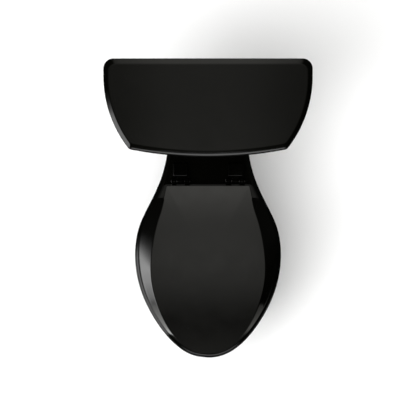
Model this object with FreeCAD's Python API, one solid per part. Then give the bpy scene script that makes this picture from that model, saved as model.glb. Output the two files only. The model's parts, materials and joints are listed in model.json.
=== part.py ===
"""Close coupled toilet: a floor-standing vitreous china bowl with an exposed trapway, a separate cistern
bolted to its deck, a lift-off cistern lid, and a hinged seat and cover.

Frame: millimetres, +Z up, the front of the bowl towards -Y, the cistern towards +Y, X across.
The origin is on the floor under the centre of the object's box.
"""
import FreeCAD, Part

import math
import os

from FreeCAD import Vector

os.makedirs("parts", exist_ok=True)

# ---------------------------------------------------------------- driving dimensions
FRONT_Y = -367.0          # nose of the china rim
BACK_Y = 367.0            # back edge of the cistern lid
RIM_TOP = 415.0           # top of the china rim and deck
RIM_HALF = 184.0          # half width of the rim at its widest
RIM_WIDEST_Y = -110.0
NECK_HALF = 104.0         # half width of the deck where it runs under the cistern
NECK_Y = 143.0
DECK_BACK_Y = 312.0

LID_HALF = 249.0          # half width of the cistern lid
LID_DEPTH = 234.0
LID_BOTTOM = 746.0
LID_THICK = 34.0
LID_SIDE_R = 278.0        # plan radius of the bowed sides
LID_FRONT_R = 975.0       # plan radius of the bowed front
LID_BACK_CORNER_R = 24.0
LID_FRONT_CORNER_R = 13.0
LID_SIDE_STRAIGHT_Y = 325.0
LID_OVERHANG = 17.0       # how far the lid stands out past the cistern's top

TANK_BOTTOM = 424.0
TANK_WALL = 11.0
TANK_FLOOR = 12.0

REST_GAP = 0.3            # between pieces that rest on each other and move apart
PIN_CLEARANCE = 0.05      # radial, of a bore that turns on a pin

OUTLET_Y = 75.0           # centre of the floor outlet
OUTLET_R = 27.0
CLOSET_BOLT_X = 76.2      # floor bolts, 152.4 apart
CLOSET_HOLE_R = 6.5
SEAT_BOLT_X = 69.85       # seat bolts, 139.7 apart
SEAT_BOLT_Y = 108.0
VALVE_Y = 245.0           # flush valve centre, over the bowl's inlet
TANK_BOLT_X = 82.0

HINGE_Y = 79.0            # seat hinge axis
HINGE_Z = RIM_TOP + 15.0
KNUCKLE_R = 7.5
HINGE_PIN_R = 3.5

RING_GAP = 4.0            # rim to ring, held by the bumpers
RING_THICK = 17.0
COVER_GAP = 2.5           # ring to cover, held by the bumpers
COVER_HEIGHT = 16.0       # from the cover's edge to its flat panel
COVER_SKIN = 4.0
SEAT_INSET = 9.0          # how far the seat's outline lies inside the rim's

LEVER_X = -105.0          # trip lever axis
LEVER_Z = 705.0
FLAPPER_X = -56.0         # flapper pegs, on the overflow tube's axis
FLAPPER_Z = 474.0
CHAIN_X = 24.0            # the chain hangs here from the arm to the flapper
CHAIN_TOP = 685.0
CHAIN_BOTTOM = 478.0

FILL_X = -150.0           # fill valve axis
FILL_Y = 262.0
FLOAT_ROD_X = -185.4


# ---------------------------------------------------------------- helpers
def export(node, *solids):
    """One STEP file for one named sub-part."""
    shape = solids[0] if len(solids) == 1 else Part.makeCompound(list(solids))
    shape.exportStep("parts/" + node + ".step")


def rod(radius, start, end):
    """A round bar between two points."""
    a, b = Vector(*start), Vector(*end)
    return Part.makeCylinder(radius, (b - a).Length, a, b - a)


def upright(x, y, low, high, radius):
    return rod(radius, (x, y, low), (x, y, high))


def sleeve(x, y, low, high, outer, inner):
    """An upright tube or washer."""
    return upright(x, y, low, high, outer).cut(upright(x, y, low - 1, high + 1, inner))


def block(x, y, z):
    """A box from its (low, high) pairs."""
    return Part.makeBox(x[1] - x[0], y[1] - y[0], z[1] - z[0], Vector(x[0], y[0], z[0]))


def fuse(first, *others):
    return first.fuse(list(others)).removeSplitter()


def mirrored(shape):
    """The same shape on the other side of the centre plane."""
    return shape.mirror(Vector(0, 0, 0), Vector(1, 0, 0))


def pair(shape):
    return [shape, mirrored(shape)]


def hexagon_nut(x, y, low, high, across, bore):
    """A hexagon nut, its size given across the flats."""
    corner = across / math.sqrt(3)
    points = [
        Vector(x + corner * math.cos(math.radians(60 * i)), y + corner * math.sin(math.radians(60 * i)), low)
        for i in range(6)
    ]
    face = Part.Face(Part.makePolygon(points + points[:1]))
    return face.extrude(Vector(0, 0, high - low)).cut(upright(x, y, low - 1, high + 1, bore))


def rounded_path(points, radii):
    """Straight runs joined by tangent arcs, one radius for each inner point."""
    corners = [Vector(*p) for p in points]
    edges, at = [], corners[0]
    for before, corner, after, radius in zip(corners, corners[1:], corners[2:], radii):
        back = (before - corner).normalize()
        on = (after - corner).normalize()
        half = back.getAngle(on) / 2
        reach = radius / math.tan(half)
        centre = corner + (back + on).normalize() * (radius / math.sin(half))
        start, end = corner + back * reach, corner + on * reach
        middle = centre + (corner - centre).normalize() * radius
        edges += [Part.LineSegment(at, start).toShape(), Part.Arc(start, middle, end).toShape()]
        at = end
    return Part.Wire(edges + [Part.LineSegment(at, corners[-1]).toShape()])


def pipe(path, radius):
    """A round bar swept along a path of runs and arcs."""
    start = path.Edges[0]
    direction = start.tangentAt(start.FirstParameter)
    section = Part.Wire(Part.makeCircle(radius, start.valueAt(start.FirstParameter), direction))
    return path.makePipeShell([section], True, True)


# ---------------------------------------------------------------- plan outlines
# Shares of (half width, way from the nose to the widest place), and then of (step in width, way to the neck).
NOSE_SHAPE = [(0.222, 0.027), (0.407, 0.105), (0.700, 0.342), (0.920, 0.660)]
NECK_SHAPE = [(0.863, 0.296), (0.512, 0.538), (0.175, 0.779)]
TAIL_SHAPE = [(0.945, 0.45), (0.740, 0.78), (0.420, 0.955)]
BACK_CORNER_R = 26.0


def closed_curve(half, z):
    """A smooth closed wire through a right-hand half outline, nose to back, and its mirror image."""
    left = [(-x, y) for x, y in half[1:-1]][::-1]
    points = [Vector(x, y, z) for x, y in half + left]
    curve = Part.BSplineCurve()
    steps = [(b - a).Length for a, b in zip(points, points[1:] + points[:1])]
    total, run, knots = sum(steps), 0.0, [0.0]
    for step in steps:
        run += step
        knots.append(run / total)
    curve.interpolate(Points=points, PeriodicFlag=True, Parameters=knots)
    return Part.Wire(curve.toShape())


def body_outline(z, nose, widest, half, neck, neck_half, back, back_half, inset=0.0):
    """The bowl in plan: an egg-shaped front that narrows to a straight tail with round corners."""
    nose, half, neck_half = nose + inset, half - inset, neck_half - inset
    back, back_half, r = back - inset, back_half - inset, min(BACK_CORNER_R, 0.8 * back_half)
    points = [(0.0, nose)]
    points += [(half * u, nose + (widest - nose) * v) for u, v in NOSE_SHAPE]
    points += [(half, widest)]
    points += [(neck_half + (half - neck_half) * u, widest + (neck - widest) * v) for u, v in NECK_SHAPE]
    points += [(neck_half, neck), (back_half, (neck + back) / 2), (back_half, back - r)]
    points += [(back_half - 0.293 * r, back - 0.293 * r), (back_half - r, back), (0.0, back)]
    return closed_curve(points, z)


def egg_outline(z, nose, widest, half, back, inset=0.0):
    """A closed egg: the same nose, and a blunter tail."""
    nose, half, back = nose + inset, half - inset, back - inset
    points = [(0.0, nose)]
    points += [(half * u, nose + (widest - nose) * v) for u, v in NOSE_SHAPE]
    points += [(half, widest)]
    points += [(half * u, widest + (back - widest) * v) for u, v in TAIL_SHAPE]
    return closed_curve(points + [(0.0, back)], z)


def circle_meeting(c1, r1, c2, r2):
    """Where two circles cross, the crossing with the lower y."""
    d = math.hypot(c2[0] - c1[0], c2[1] - c1[1])
    a = (r1 * r1 - r2 * r2 + d * d) / (2 * d)
    h = math.sqrt(r1 * r1 - a * a)
    ux, uy = (c2[0] - c1[0]) / d, (c2[1] - c1[1]) / d
    candidates = [(c1[0] + a * ux + s * h * uy, c1[1] + a * uy - s * h * ux) for s in (1, -1)]
    return min(candidates, key=lambda p: p[1])


def towards(centre, through, radius):
    """The point of a circle on the ray from its centre through another point."""
    dx, dy = through[0] - centre[0], through[1] - centre[1]
    d = math.hypot(dx, dy)
    return (centre[0] + dx / d * radius, centre[1] + dy / d * radius)


def tank_outline(z, side_inset, front_inset, back_inset):
    """The cistern in plan: straight back, bowed sides that close in towards a shallow bowed front."""
    half, back = LID_HALF - side_inset, BACK_Y - back_inset
    front = BACK_Y - LID_DEPTH + front_inset
    side_r, front_r = LID_SIDE_R - side_inset, LID_FRONT_R - front_inset
    back_r = max(LID_BACK_CORNER_R - 0.4 * side_inset, 10.0)
    corner_r = LID_FRONT_CORNER_R + 0.4 * side_inset
    side_c = (half - side_r, LID_SIDE_STRAIGHT_Y)
    front_c = (0.0, front + front_r)
    corner_c = circle_meeting(side_c, side_r - corner_r, front_c, front_r - corner_r)
    side_end = towards(side_c, corner_c, side_r)
    front_end = towards(front_c, corner_c, front_r)

    def mid(centre, a, b, radius):
        return towards(centre, ((a[0] + b[0]) / 2, (a[1] + b[1]) / 2), radius)

    corner_top = (half - back_r, back)
    side_top = (half, back - back_r)
    side_start = (half, LID_SIDE_STRAIGHT_Y)
    corner_mid = (half - back_r * (1 - math.sqrt(0.5)), back - back_r * (1 - math.sqrt(0.5)))
    right = [
        (corner_top, corner_mid, side_top),
        (side_top, None, side_start),
        (side_start, mid(side_c, side_start, side_end, side_r), side_end),
        (side_end, mid(corner_c, side_end, front_end, corner_r), front_end),
    ]

    def flip(p):
        return None if p is None else (-p[0], p[1])

    left = [(flip(c), flip(b), flip(a)) for a, b, c in right[::-1]]
    front_run = (front_end, (0.0, front), flip(front_end))
    back_run = (flip(corner_top), None, corner_top)
    runs = right + [front_run] + left + [back_run]

    def edge(a, b, c):
        if b is None:
            return Part.LineSegment(Vector(*a, z), Vector(*c, z)).toShape()
        return Part.Arc(Vector(*a, z), Vector(*b, z), Vector(*c, z)).toShape()

    return Part.Wire([edge(*run) for run in runs])


def loft(wires, ruled=False):
    return Part.makeLoft(wires, True, ruled)


# ---------------------------------------------------------------- the china bowl
# z, nose, widest y, half width, neck y, neck half, back y, back half
BODY_SECTIONS = [
    (0, -236, -140, 84, 20, 34, 188, 34),
    (60, -236, -140, 80, 20, 30, 186, 30),
    (130, -240, -140, 80, 20, 30, 186, 30),
    (200, -268, -135, 100, 40, 32, 192, 32),
    (265, -308, -125, 136, 70, 42, 216, 38),
    (330, -344, -118, 167, 105, 66, 262, 58),
    (372, -360, -112, 180, 130, 90, 296, 84),
    (405, FRONT_Y, RIM_WIDEST_Y, RIM_HALF, NECK_Y, NECK_HALF, DECK_BACK_Y, 100),
]
RIM_ROUND = [(405.0, 0.0), (409.5, 1.0), (413.0, 3.6), (RIM_TOP, 8.5)]     # height, inset
FOOT = (-262.0, -140.0, 106.0, 60.0, 115.0, 206.0, 108.0)
FOOT_ROUND = [(0.0, 0.0), (20.0, 1.5), (27.0, 5.0), (31.0, 12.0)]
FOOT_TOP = FOOT_ROUND[-1][0]

# z, nose, widest y, half width, back y
BASIN_SECTIONS = [
    (95, -128, -88, 34, -48),
    (150, -176, -104, 54, -34),
    (205, -228, -128, 80, -38),
    (265, -284, -128, 114, -12),
    (330, -326, -122, 148, 24),
    (374, -338, -122, 156, 34),
]
RIM_MOUTH = (-323.0, -125.0, 140.0, 28.0)     # the opening inside the rim
RIM_DEPTH = 42.0

# The trapway in the centre plane, as (y, z), from the sump over the weir to the floor.
TRAP = [(-105, 125), (-68, 84), (28, 238), (120, 238), (132, 105), (OUTLET_Y, 72), (OUTLET_Y, -5)]
TRAP_RADII = [35.0, 60.0, 50.0, 46.0, 48.0]
TRAP_OUTER_R = 42.0

INLET_R = 34.0            # water inlet in the deck, under the flush valve
GASKET_RECESS = (54.0, 14.0)
DECK_BOLT_SEAT = RIM_TOP - 22.0     # underside of the deck at its four bolts
DECK_POCKET_R = 15.0
SEAT_BOLT_HOLE_R = 7.0
TANK_BOLT_HOLE_R = 6.0
DUCT_R = 18.0             # from the inlet forward to the rim


def china_outside():
    """Pedestal, rim, foot and the trapway that shows on both sides."""
    top = BODY_SECTIONS[-1][1:]
    pedestal = loft([body_outline(*section) for section in BODY_SECTIONS])
    rim = loft([body_outline(z, *top, inset=d) for z, d in RIM_ROUND], ruled=True)
    foot = loft([body_outline(z, *FOOT, inset=d) for z, d in FOOT_ROUND], ruled=True)
    return pedestal.fuse([rim, foot, trapway_outside()])


def trapway_outside():
    route = [(0.0, y, z) for y, z in TRAP]
    tube = pipe(rounded_path(route[1:], TRAP_RADII[1:]), TRAP_OUTER_R)
    return tube.common(block((-60, 60), (-200, 300), (0, 400)))


def under_foot():
    """The hollows under the casting, clear of the trapway and the floor bolts' bosses."""
    _, *lowest = BODY_SECTIONS[0]
    front = Part.Face(body_outline(-1, *lowest, inset=13)).extrude(Vector(0, 0, 56))
    front = front.common(block((-99, 99), (-240, -30), (-1, 80)))
    tray = Part.Face(body_outline(-1, *FOOT, inset=15)).extrude(Vector(0, 0, 19))
    bosses = pair(upright(CLOSET_BOLT_X, OUTLET_Y, -2, 40, 17.0))
    return front.fuse(tray).cut([trapway_outside(), *bosses])


def waterways():
    """Basin, rim opening, trapway bore, inlet chamber and the duct from the inlet to the rim."""
    basin = loft([egg_outline(*section) for section in BASIN_SECTIONS])
    mouth = Part.Face(egg_outline(RIM_TOP - RIM_DEPTH, *RIM_MOUTH)).extrude(Vector(0, 0, RIM_DEPTH + 5))
    passage = pipe(rounded_path([(0.0, y, z) for y, z in TRAP], TRAP_RADII), OUTLET_R)
    inlet = upright(0, VALVE_Y, 350, RIM_TOP + 5, INLET_R)
    recess = upright(0, VALVE_Y, RIM_TOP - GASKET_RECESS[1], RIM_TOP + 5, GASKET_RECESS[0])
    duct = rod(DUCT_R, (0, VALVE_Y, 368), (0, 0, 352))
    return [basin, mouth, passage, inlet, recess, duct]


def deck_and_floor_holes():
    holes = []
    for hole in (
        upright(SEAT_BOLT_X, SEAT_BOLT_Y, 300, RIM_TOP + 5, SEAT_BOLT_HOLE_R),
        upright(SEAT_BOLT_X, SEAT_BOLT_Y, 330, DECK_BOLT_SEAT, DECK_POCKET_R),
        upright(TANK_BOLT_X, VALVE_Y, 300, RIM_TOP + 5, TANK_BOLT_HOLE_R),
        upright(TANK_BOLT_X, VALVE_Y, 330, DECK_BOLT_SEAT, DECK_POCKET_R),
        upright(CLOSET_BOLT_X, OUTLET_Y, -5, 40, CLOSET_HOLE_R),
    ):
        holes += pair(hole)
    return holes


def bowl():
    return china_outside().cut([under_foot(), *waterways(), *deck_and_floor_holes()])


# The one casting is stored as four bands that meet face to face, cut level: (name, bottom, top).
BOWL_BANDS = [
    ("bowl_foot", 0.0, 112.0),
    ("bowl_waist", 112.0, 238.0),
    ("bowl_pan", 238.0, 380.0),
    ("bowl_rim", 380.0, RIM_TOP),
]


def build_bowl():
    whole = bowl()
    for name, low, high in BOWL_BANDS:
        slab = block((-250, 250), (-400, 400), (low, high + (1 if high == RIM_TOP else 0)))
        export(name, whole.common(slab))


# ---------------------------------------------------------------- the cistern and its lid
TANK_INSIDE = TANK_BOTTOM + TANK_FLOOR      # top face of the cistern's floor
BOSS_R = 17.0             # the trip lever's boss
LEVER_HOLE_R = 9.0
FLUSH_HOLE_R = 31.5
FILL_HOLE_R = 14.0
BOSS_FACE = BACK_Y - LID_DEPTH + LID_OVERHANG + 5.5
BOSS_BACK = BOSS_FACE + 17.5


def tank_insets(z):
    """How far the cistern's outside lies inside the lid's outline at a height: (side, front, back)."""
    drop = (LID_BOTTOM - z) / (LID_BOTTOM - TANK_BOTTOM)
    return (LID_OVERHANG + 27.0 * drop, LID_OVERHANG + 24.0 * drop, 8.0)


def tank_section(z, inset=0.0):
    return tank_outline(z, *[d + inset for d in tank_insets(z)])


def tank():
    """Tapering cistern, open at the top, with a flat boss inside and out for the trip lever."""
    round_off = ((0, 14.0), (4, 6.0), (12, 1.2), (22, 0.0))     # rise, inset
    floor_round = [(TANK_BOTTOM + rise, inset) for rise, inset in round_off]
    base = loft([tank_section(z, d) for z, d in floor_round], ruled=True)
    wall = loft([tank_section(floor_round[-1][0]), tank_section(LID_BOTTOM)], ruled=True)
    inside = loft(
        [
            tank_section(TANK_INSIDE, TANK_WALL + 10),
            tank_section(TANK_INSIDE + 10, TANK_WALL),
            tank_section(LID_BOTTOM + 1, TANK_WALL),
        ],
        ruled=True,
    )
    boss = rod(BOSS_R, (LEVER_X, BOSS_FACE, LEVER_Z), (LEVER_X, BOSS_BACK, LEVER_Z))
    china = base.fuse([wall]).cut(inside)
    holes = [
        upright(0, VALVE_Y, TANK_BOTTOM - 5, TANK_INSIDE + 5, FLUSH_HOLE_R),
        upright(FILL_X, FILL_Y, TANK_BOTTOM - 5, TANK_INSIDE + 5, FILL_HOLE_R),
        rod(LEVER_HOLE_R, (LEVER_X, BOSS_FACE - 5, LEVER_Z), (LEVER_X, BOSS_BACK + 5, LEVER_Z)),
    ]
    holes += pair(upright(TANK_BOLT_X, VALVE_Y, TANK_BOTTOM - 5, TANK_INSIDE + 5, TANK_BOLT_HOLE_R))
    return fuse(china, boss).cut(holes)


def tank_lid():
    """A slab with a bevelled, rounded edge and a locating lip that drops inside the cistern."""
    top = LID_BOTTOM + LID_THICK
    edge = [
        (LID_BOTTOM + REST_GAP, 3.0),
        (LID_BOTTOM + 3.3, 0.0),
        (top - 14.0, 0.0),
        (top - 9.0, 1.0),
        (top - 5.4, 3.4),
        (top - 1.2, 12.0),
        (top, 15.5),
    ]
    slab = loft([tank_outline(z, d, d, d) for z, d in edge], ruled=True)
    lip_inset = LID_OVERHANG + TANK_WALL + 3.0
    lip_low = LID_BOTTOM - 11.0
    lip = Part.Face(tank_outline(lip_low, lip_inset, lip_inset, 22.0)).extrude(Vector(0, 0, 20))
    inner = Part.Face(tank_outline(lip_low - 1, lip_inset + 8, lip_inset + 8, 30.0))
    return fuse(slab, lip).cut(inner.extrude(Vector(0, 0, top - 15.0 - lip_low)))


# ---------------------------------------------------------------- the seat
SEAT_NOSE = FRONT_Y + SEAT_INSET
SEAT_HALF = RIM_HALF - SEAT_INSET - 1.5
RING_BOTTOM = RIM_TOP + RING_GAP
RING_TOP = RING_BOTTOM + RING_THICK
COVER_EDGE = RING_TOP + COVER_GAP
COVER_TOP = COVER_EDGE + COVER_HEIGHT
COVER_SKIRT_TOP = COVER_EDGE + 4.0
SHOULDER_Y = 36.0         # back of the seat's wide part
TAB_HALF = 104.0          # half width of the part that runs back to the hinge
TAB_BACK_Y = 68.0
POST_X = (51.0, 88.7)     # the right-hand hinge post's block, across
POST_Y = (91.5, 124.5)    # and front to back
POST_TOP = RIM_TOP + 9.0
CAP_WALL = 2.0
CAP_TOP = RIM_TOP + 21.0


def seat_half():
    """Right-hand half outline of ring and cover: nose, widest place, rounded shoulder."""
    run = SHOULDER_Y - RIM_WIDEST_Y
    points = [(0.0, SEAT_NOSE)]
    points += [(SEAT_HALF * u, SEAT_NOSE + (RIM_WIDEST_Y - SEAT_NOSE) * v) for u, v in NOSE_SHAPE]
    points += [(SEAT_HALF, RIM_WIDEST_Y)]
    points += [(0.945 * SEAT_HALF, RIM_WIDEST_Y + 0.53 * run)]
    points += [(0.855 * SEAT_HALF, RIM_WIDEST_Y + 0.80 * run)]
    points += [(0.79 * SEAT_HALF, SHOULDER_Y - 8), (0.735 * SEAT_HALF, SHOULDER_Y - 1)]
    return points + [(0.66 * SEAT_HALF, SHOULDER_Y + 1)]


def moved_in(points, inset):
    """The points drawn towards the middle of the seat."""
    middle = (0.0, RIM_WIDEST_Y - 20)
    return [towards(middle, p, math.hypot(p[0] - middle[0], p[1] - middle[1]) - inset) for p in points]


def seat_wire(half, z, inset=0.0):
    """A closed wire through a half outline and its mirror image. Points with one number lie at one parameter
    on every such wire, so that a loft joins them straight across."""
    def whole(points):
        return [(-x, y) for x, y in points[:0:-1]] + points

    run, steps = 0.0, [0.0]
    edge = whole(seat_half())
    for before, after in zip(edge, edge[1:]):
        run += math.dist(before, after)
        steps.append(run)
    points = [Vector(x, y, z) for x, y in whole(moved_in(half, inset))]
    curve = Part.BSplineCurve()
    curve.interpolate(Points=points, Parameters=[step / run for step in steps])
    return Part.Wire([curve.toShape(), Part.LineSegment(points[-1], points[0]).toShape()])


def seat_slab(low, high, inset_low, inset_high, tab_back):
    """The seat's outline between two heights, each with its own inset, with the tab behind it."""
    tab = block((-TAB_HALF + inset_high, TAB_HALF - inset_high), (0, tab_back), (low, high))
    wires = [seat_wire(seat_half(), low, inset_low), seat_wire(seat_half(), high, inset_high)]
    return fuse(loft(wires, ruled=True), tab)


def knuckle(x, arm):
    """A bored barrel on the hinge axis with an arm, given as (y, z) corners, that reaches forward."""
    barrel = rod(KNUCKLE_R, (x[0], HINGE_Y, HINGE_Z), (x[1], HINGE_Y, HINGE_Z))
    corners = [Vector(x[0], y, z) for y, z in arm]
    arm = Part.Face(Part.makePolygon(corners + corners[:1])).extrude(Vector(x[1] - x[0], 0, 0))
    bore = rod(HINGE_PIN_R + PIN_CLEARANCE, (x[0] - 1, HINGE_Y, HINGE_Z), (x[1] + 1, HINGE_Y, HINGE_Z))
    return fuse(barrel, arm).cut(bore)


RING_KNUCKLE_X = (79.5, 92.0)
COVER_KNUCKLE_X = (46.0, 58.5)
EAR_X = (60.0, 78.0)      # the hinge post's ear, between the two knuckles
RING_TAB_Y = TAB_BACK_Y - 4.0


def seat_ring():
    """The sitting ring: rounded outside edge, dished inside edge, two knuckles at the back."""
    middle = RING_BOTTOM + 11
    lower = seat_slab(RING_BOTTOM, middle, 2.5, 0.0, RING_TAB_Y)
    upper = seat_slab(middle, RING_TOP, 0.0, 5.0, RING_TAB_Y)
    opening = (-292.0, -130.0, 106.0, -8.0)
    hole = loft(
        [
            egg_outline(RING_BOTTOM - 1, *opening),
            egg_outline(RING_BOTTOM + 8, *opening),
            egg_outline(RING_TOP + 0.5, *opening, inset=-14),
        ],
        ruled=True,
    )
    low, high = RING_BOTTOM + 5, RING_TOP - 2
    arm = [(HINGE_Y, low), (HINGE_Y, high), (RING_TAB_Y - 14, high), (RING_TAB_Y - 14, low)]
    lug = knuckle(RING_KNUCKLE_X, arm)
    return fuse(lower, upper, lug, mirrored(lug)).cut(hole)


# Right-hand half outline of the cover's flat panel, each point opposite one of the edge outline's.
PANEL = [(0, -354), (37.5, -348.5), (66, -331), (111, -271), (139.8, -188), (142.7, -112), (131, -42),
         (121, -8), (115.5, 10), (112.5, 24), (110.4, 36)]
PANEL_TAB_HALF = 104.5


def cover_shell(low, top, inset):
    """The solid between the cover's edge outline and its raised panel, both drawn in by an inset."""
    slope = loft([seat_wire(seat_half(), low, inset), seat_wire(PANEL, top, inset)], ruled=True)
    front = (PANEL[-3][0] - inset, PANEL[-3][1])
    back = (PANEL_TAB_HALF - inset, TAB_BACK_Y - inset)
    corners = [front, back, (-back[0], back[1]), (-front[0], front[1])]
    corners = [Vector(x, y, low) for x, y in corners]
    tab = Part.Face(Part.makePolygon(corners + corners[:1])).extrude(Vector(0, 0, top - low))
    return fuse(slope, tab)


def seat_cover():
    """A moulded shell: flat panel, sloping flanks that widen at the sides, open underneath."""
    skirt = seat_slab(COVER_EDGE, COVER_SKIRT_TOP, 0.5, 0.0, TAB_BACK_Y)
    outside = fuse(skirt, cover_shell(COVER_SKIRT_TOP, COVER_TOP, 0.0))
    low = COVER_SKIRT_TOP - COVER_SKIN / 2
    inside_skirt = seat_slab(COVER_EDGE - 1, low, 5.0, 5.0, TAB_BACK_Y - 5)
    inside = fuse(inside_skirt, cover_shell(low, COVER_TOP - COVER_SKIN, 5.0))
    arm = [
        (HINGE_Y, HINGE_Z + KNUCKLE_R),
        (TAB_BACK_Y - 2, COVER_EDGE + 6),
        (TAB_BACK_Y - 8, COVER_EDGE + 6),
        (TAB_BACK_Y - 8, COVER_EDGE - 0.5),
        (TAB_BACK_Y - 2, COVER_EDGE - 2),
        (HINGE_Y - KNUCKLE_R, HINGE_Z),
        (HINGE_Y, HINGE_Z),
    ]
    lug = knuckle(COVER_KNUCKLE_X, arm)
    return fuse(outside.cut(inside), lug, mirrored(lug))


def bumpers(places, low, high, radius):
    """Round rubber pads, mirrored left and right."""
    pads = []
    for x, y in places:
        pads += pair(upright(x, y, low, high, radius))
    return pads


def hinge_post(side):
    """A base block on the deck, bored for the seat bolt, with an ear that carries the hinge pin."""
    base = block(POST_X, POST_Y, (RIM_TOP, POST_TOP))
    web = block(EAR_X, (HINGE_Y, POST_Y[0] + 6), (HINGE_Z - KNUCKLE_R, HINGE_Z + KNUCKLE_R - 3))
    nose = rod(KNUCKLE_R, (EAR_X[0], HINGE_Y, HINGE_Z), (EAR_X[1], HINGE_Y, HINGE_Z))
    pin = rod(HINGE_PIN_R, (EAR_X[0] - 1, HINGE_Y, HINGE_Z), (EAR_X[1] + 1, HINGE_Y, HINGE_Z))
    bolt = upright(SEAT_BOLT_X, SEAT_BOLT_Y, RIM_TOP - 1, POST_TOP + 20, 5.0)
    post = fuse(base, web, nose).cut([pin, bolt])
    return post if side > 0 else mirrored(post)


def hinge_cap(side):
    """A hollow snap cap over the head of the seat bolt."""
    shell = block(POST_X, POST_Y, (POST_TOP, CAP_TOP))
    top_edges = [e for e in shell.Edges if e.BoundBox.ZMin > CAP_TOP - 0.1]
    corner_edges = [e for e in shell.Edges if e.BoundBox.ZLength > 5]
    shell = shell.makeFillet(3.0, top_edges + corner_edges)
    across = (POST_X[0] + CAP_WALL, POST_X[1] - CAP_WALL)
    along = (POST_Y[0] + CAP_WALL, POST_Y[1] - CAP_WALL)
    room = block(across, along, (POST_TOP - 1, CAP_TOP - CAP_WALL))
    slot = (EAR_X[0] - 0.2, EAR_X[1] + 0.2)
    web = block(slot, (POST_Y[0] - 1, POST_Y[0] + 6.2), (POST_TOP - 1, HINGE_Z + 5))
    cap = shell.cut([room, web])
    return cap if side > 0 else mirrored(cap)


def hinge_pins():
    start, end = COVER_KNUCKLE_X[0] - 1.5, RING_KNUCKLE_X[1] + 1.5
    return pair(rod(HINGE_PIN_R, (start, HINGE_Y, HINGE_Z), (end, HINGE_Y, HINGE_Z)))


SEAT_BOLT_R = 4.8


def seat_bolts():
    x, y = SEAT_BOLT_X, SEAT_BOLT_Y
    head = upright(x, y, POST_TOP, POST_TOP + 5, 9.0)
    return pair(fuse(head, upright(x, y, RIM_TOP - 52, POST_TOP, SEAT_BOLT_R)))


def seat_bolt_washers():
    return pair(sleeve(SEAT_BOLT_X, SEAT_BOLT_Y, DECK_BOLT_SEAT - 3, DECK_BOLT_SEAT, 12.5, SEAT_BOLT_R))


def seat_bolt_nuts():
    low, high = DECK_BOLT_SEAT - 17, DECK_BOLT_SEAT - 3
    return pair(hexagon_nut(SEAT_BOLT_X, SEAT_BOLT_Y, low, high, 20.0, SEAT_BOLT_R))


def build_seat():
    ring_pads = bumpers([(88, -299), (155, -60)], RIM_TOP + REST_GAP, RING_BOTTOM, 8.0)
    cover_pads = bumpers([(40, -322), (132, -150)], RING_TOP + REST_GAP, COVER_TOP - COVER_SKIN, 6.0)
    export("seat_ring", seat_ring())
    export("seat_ring_bumpers", *ring_pads)
    export("seat_cover", seat_cover())
    export("cover_bumpers", *cover_pads)
    for name, side in (("left", -1), ("right", 1)):
        export("hinge_post_" + name, hinge_post(side))
        export("hinge_cap_" + name, hinge_cap(side))
    export("hinge_pins", *hinge_pins())
    export("seat_bolts", *seat_bolts())
    export("seat_bolt_washers", *seat_bolt_washers())
    export("seat_bolt_nuts", *seat_bolt_nuts())


# ---------------------------------------------------------------- cistern bolts and gasket
NUT_LOW = TANK_BOTTOM - 12.0        # underside of the big nuts below the cistern
TANK_BOLT_R = 4.0
GASKET_BORE_R = 43.5


def tank_gasket():
    """The sponge ring around the flush valve's nut, squeezed between cistern and bowl."""
    return sleeve(0, VALVE_Y, RIM_TOP - GASKET_RECESS[1], TANK_BOTTOM, 51.0, GASKET_BORE_R)


def tank_bolts():
    x, y, seat = TANK_BOLT_X, VALVE_Y, TANK_INSIDE + 3
    head = upright(x, y, seat, seat + 6, 10.0)
    slot = block((x - 11, x + 11), (y - 1.2, y + 1.2), (seat + 3.5, seat + 7))
    return pair(fuse(head, upright(x, y, DECK_BOLT_SEAT - 22, seat, TANK_BOLT_R)).cut(slot))


def tank_bolt_rubber_washers():
    return pair(sleeve(TANK_BOLT_X, VALVE_Y, TANK_INSIDE, TANK_INSIDE + 3, 13.0, TANK_BOLT_R))


def tank_bolt_washers():
    return pair(sleeve(TANK_BOLT_X, VALVE_Y, DECK_BOLT_SEAT - 2, DECK_BOLT_SEAT, 11.5, TANK_BOLT_R))


def tank_bolt_nuts():
    low, high = DECK_BOLT_SEAT - 10, DECK_BOLT_SEAT - 2
    return pair(hexagon_nut(TANK_BOLT_X, VALVE_Y, low, high, 16.0, TANK_BOLT_R))


def build_tank_fixings():
    export("tank_gasket", tank_gasket())
    export("tank_bolts", *tank_bolts())
    export("tank_bolt_rubber_washers", *tank_bolt_rubber_washers())
    export("tank_bolt_washers", *tank_bolt_washers())
    export("tank_bolt_nuts", *tank_bolt_nuts())


# ---------------------------------------------------------------- flush valve
THROAT_R = 25.0
SHANK_R = 28.5
SEAT_TOP = 462.0          # lip that the flapper closes
OVERFLOW_TOP = 668.0
OVERFLOW_R = 14.5
OVERFLOW_BORE = 12.0
PEG_R = 3.0
PORT_Z = 452.5            # centre of the port from the overflow into the throat


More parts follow.
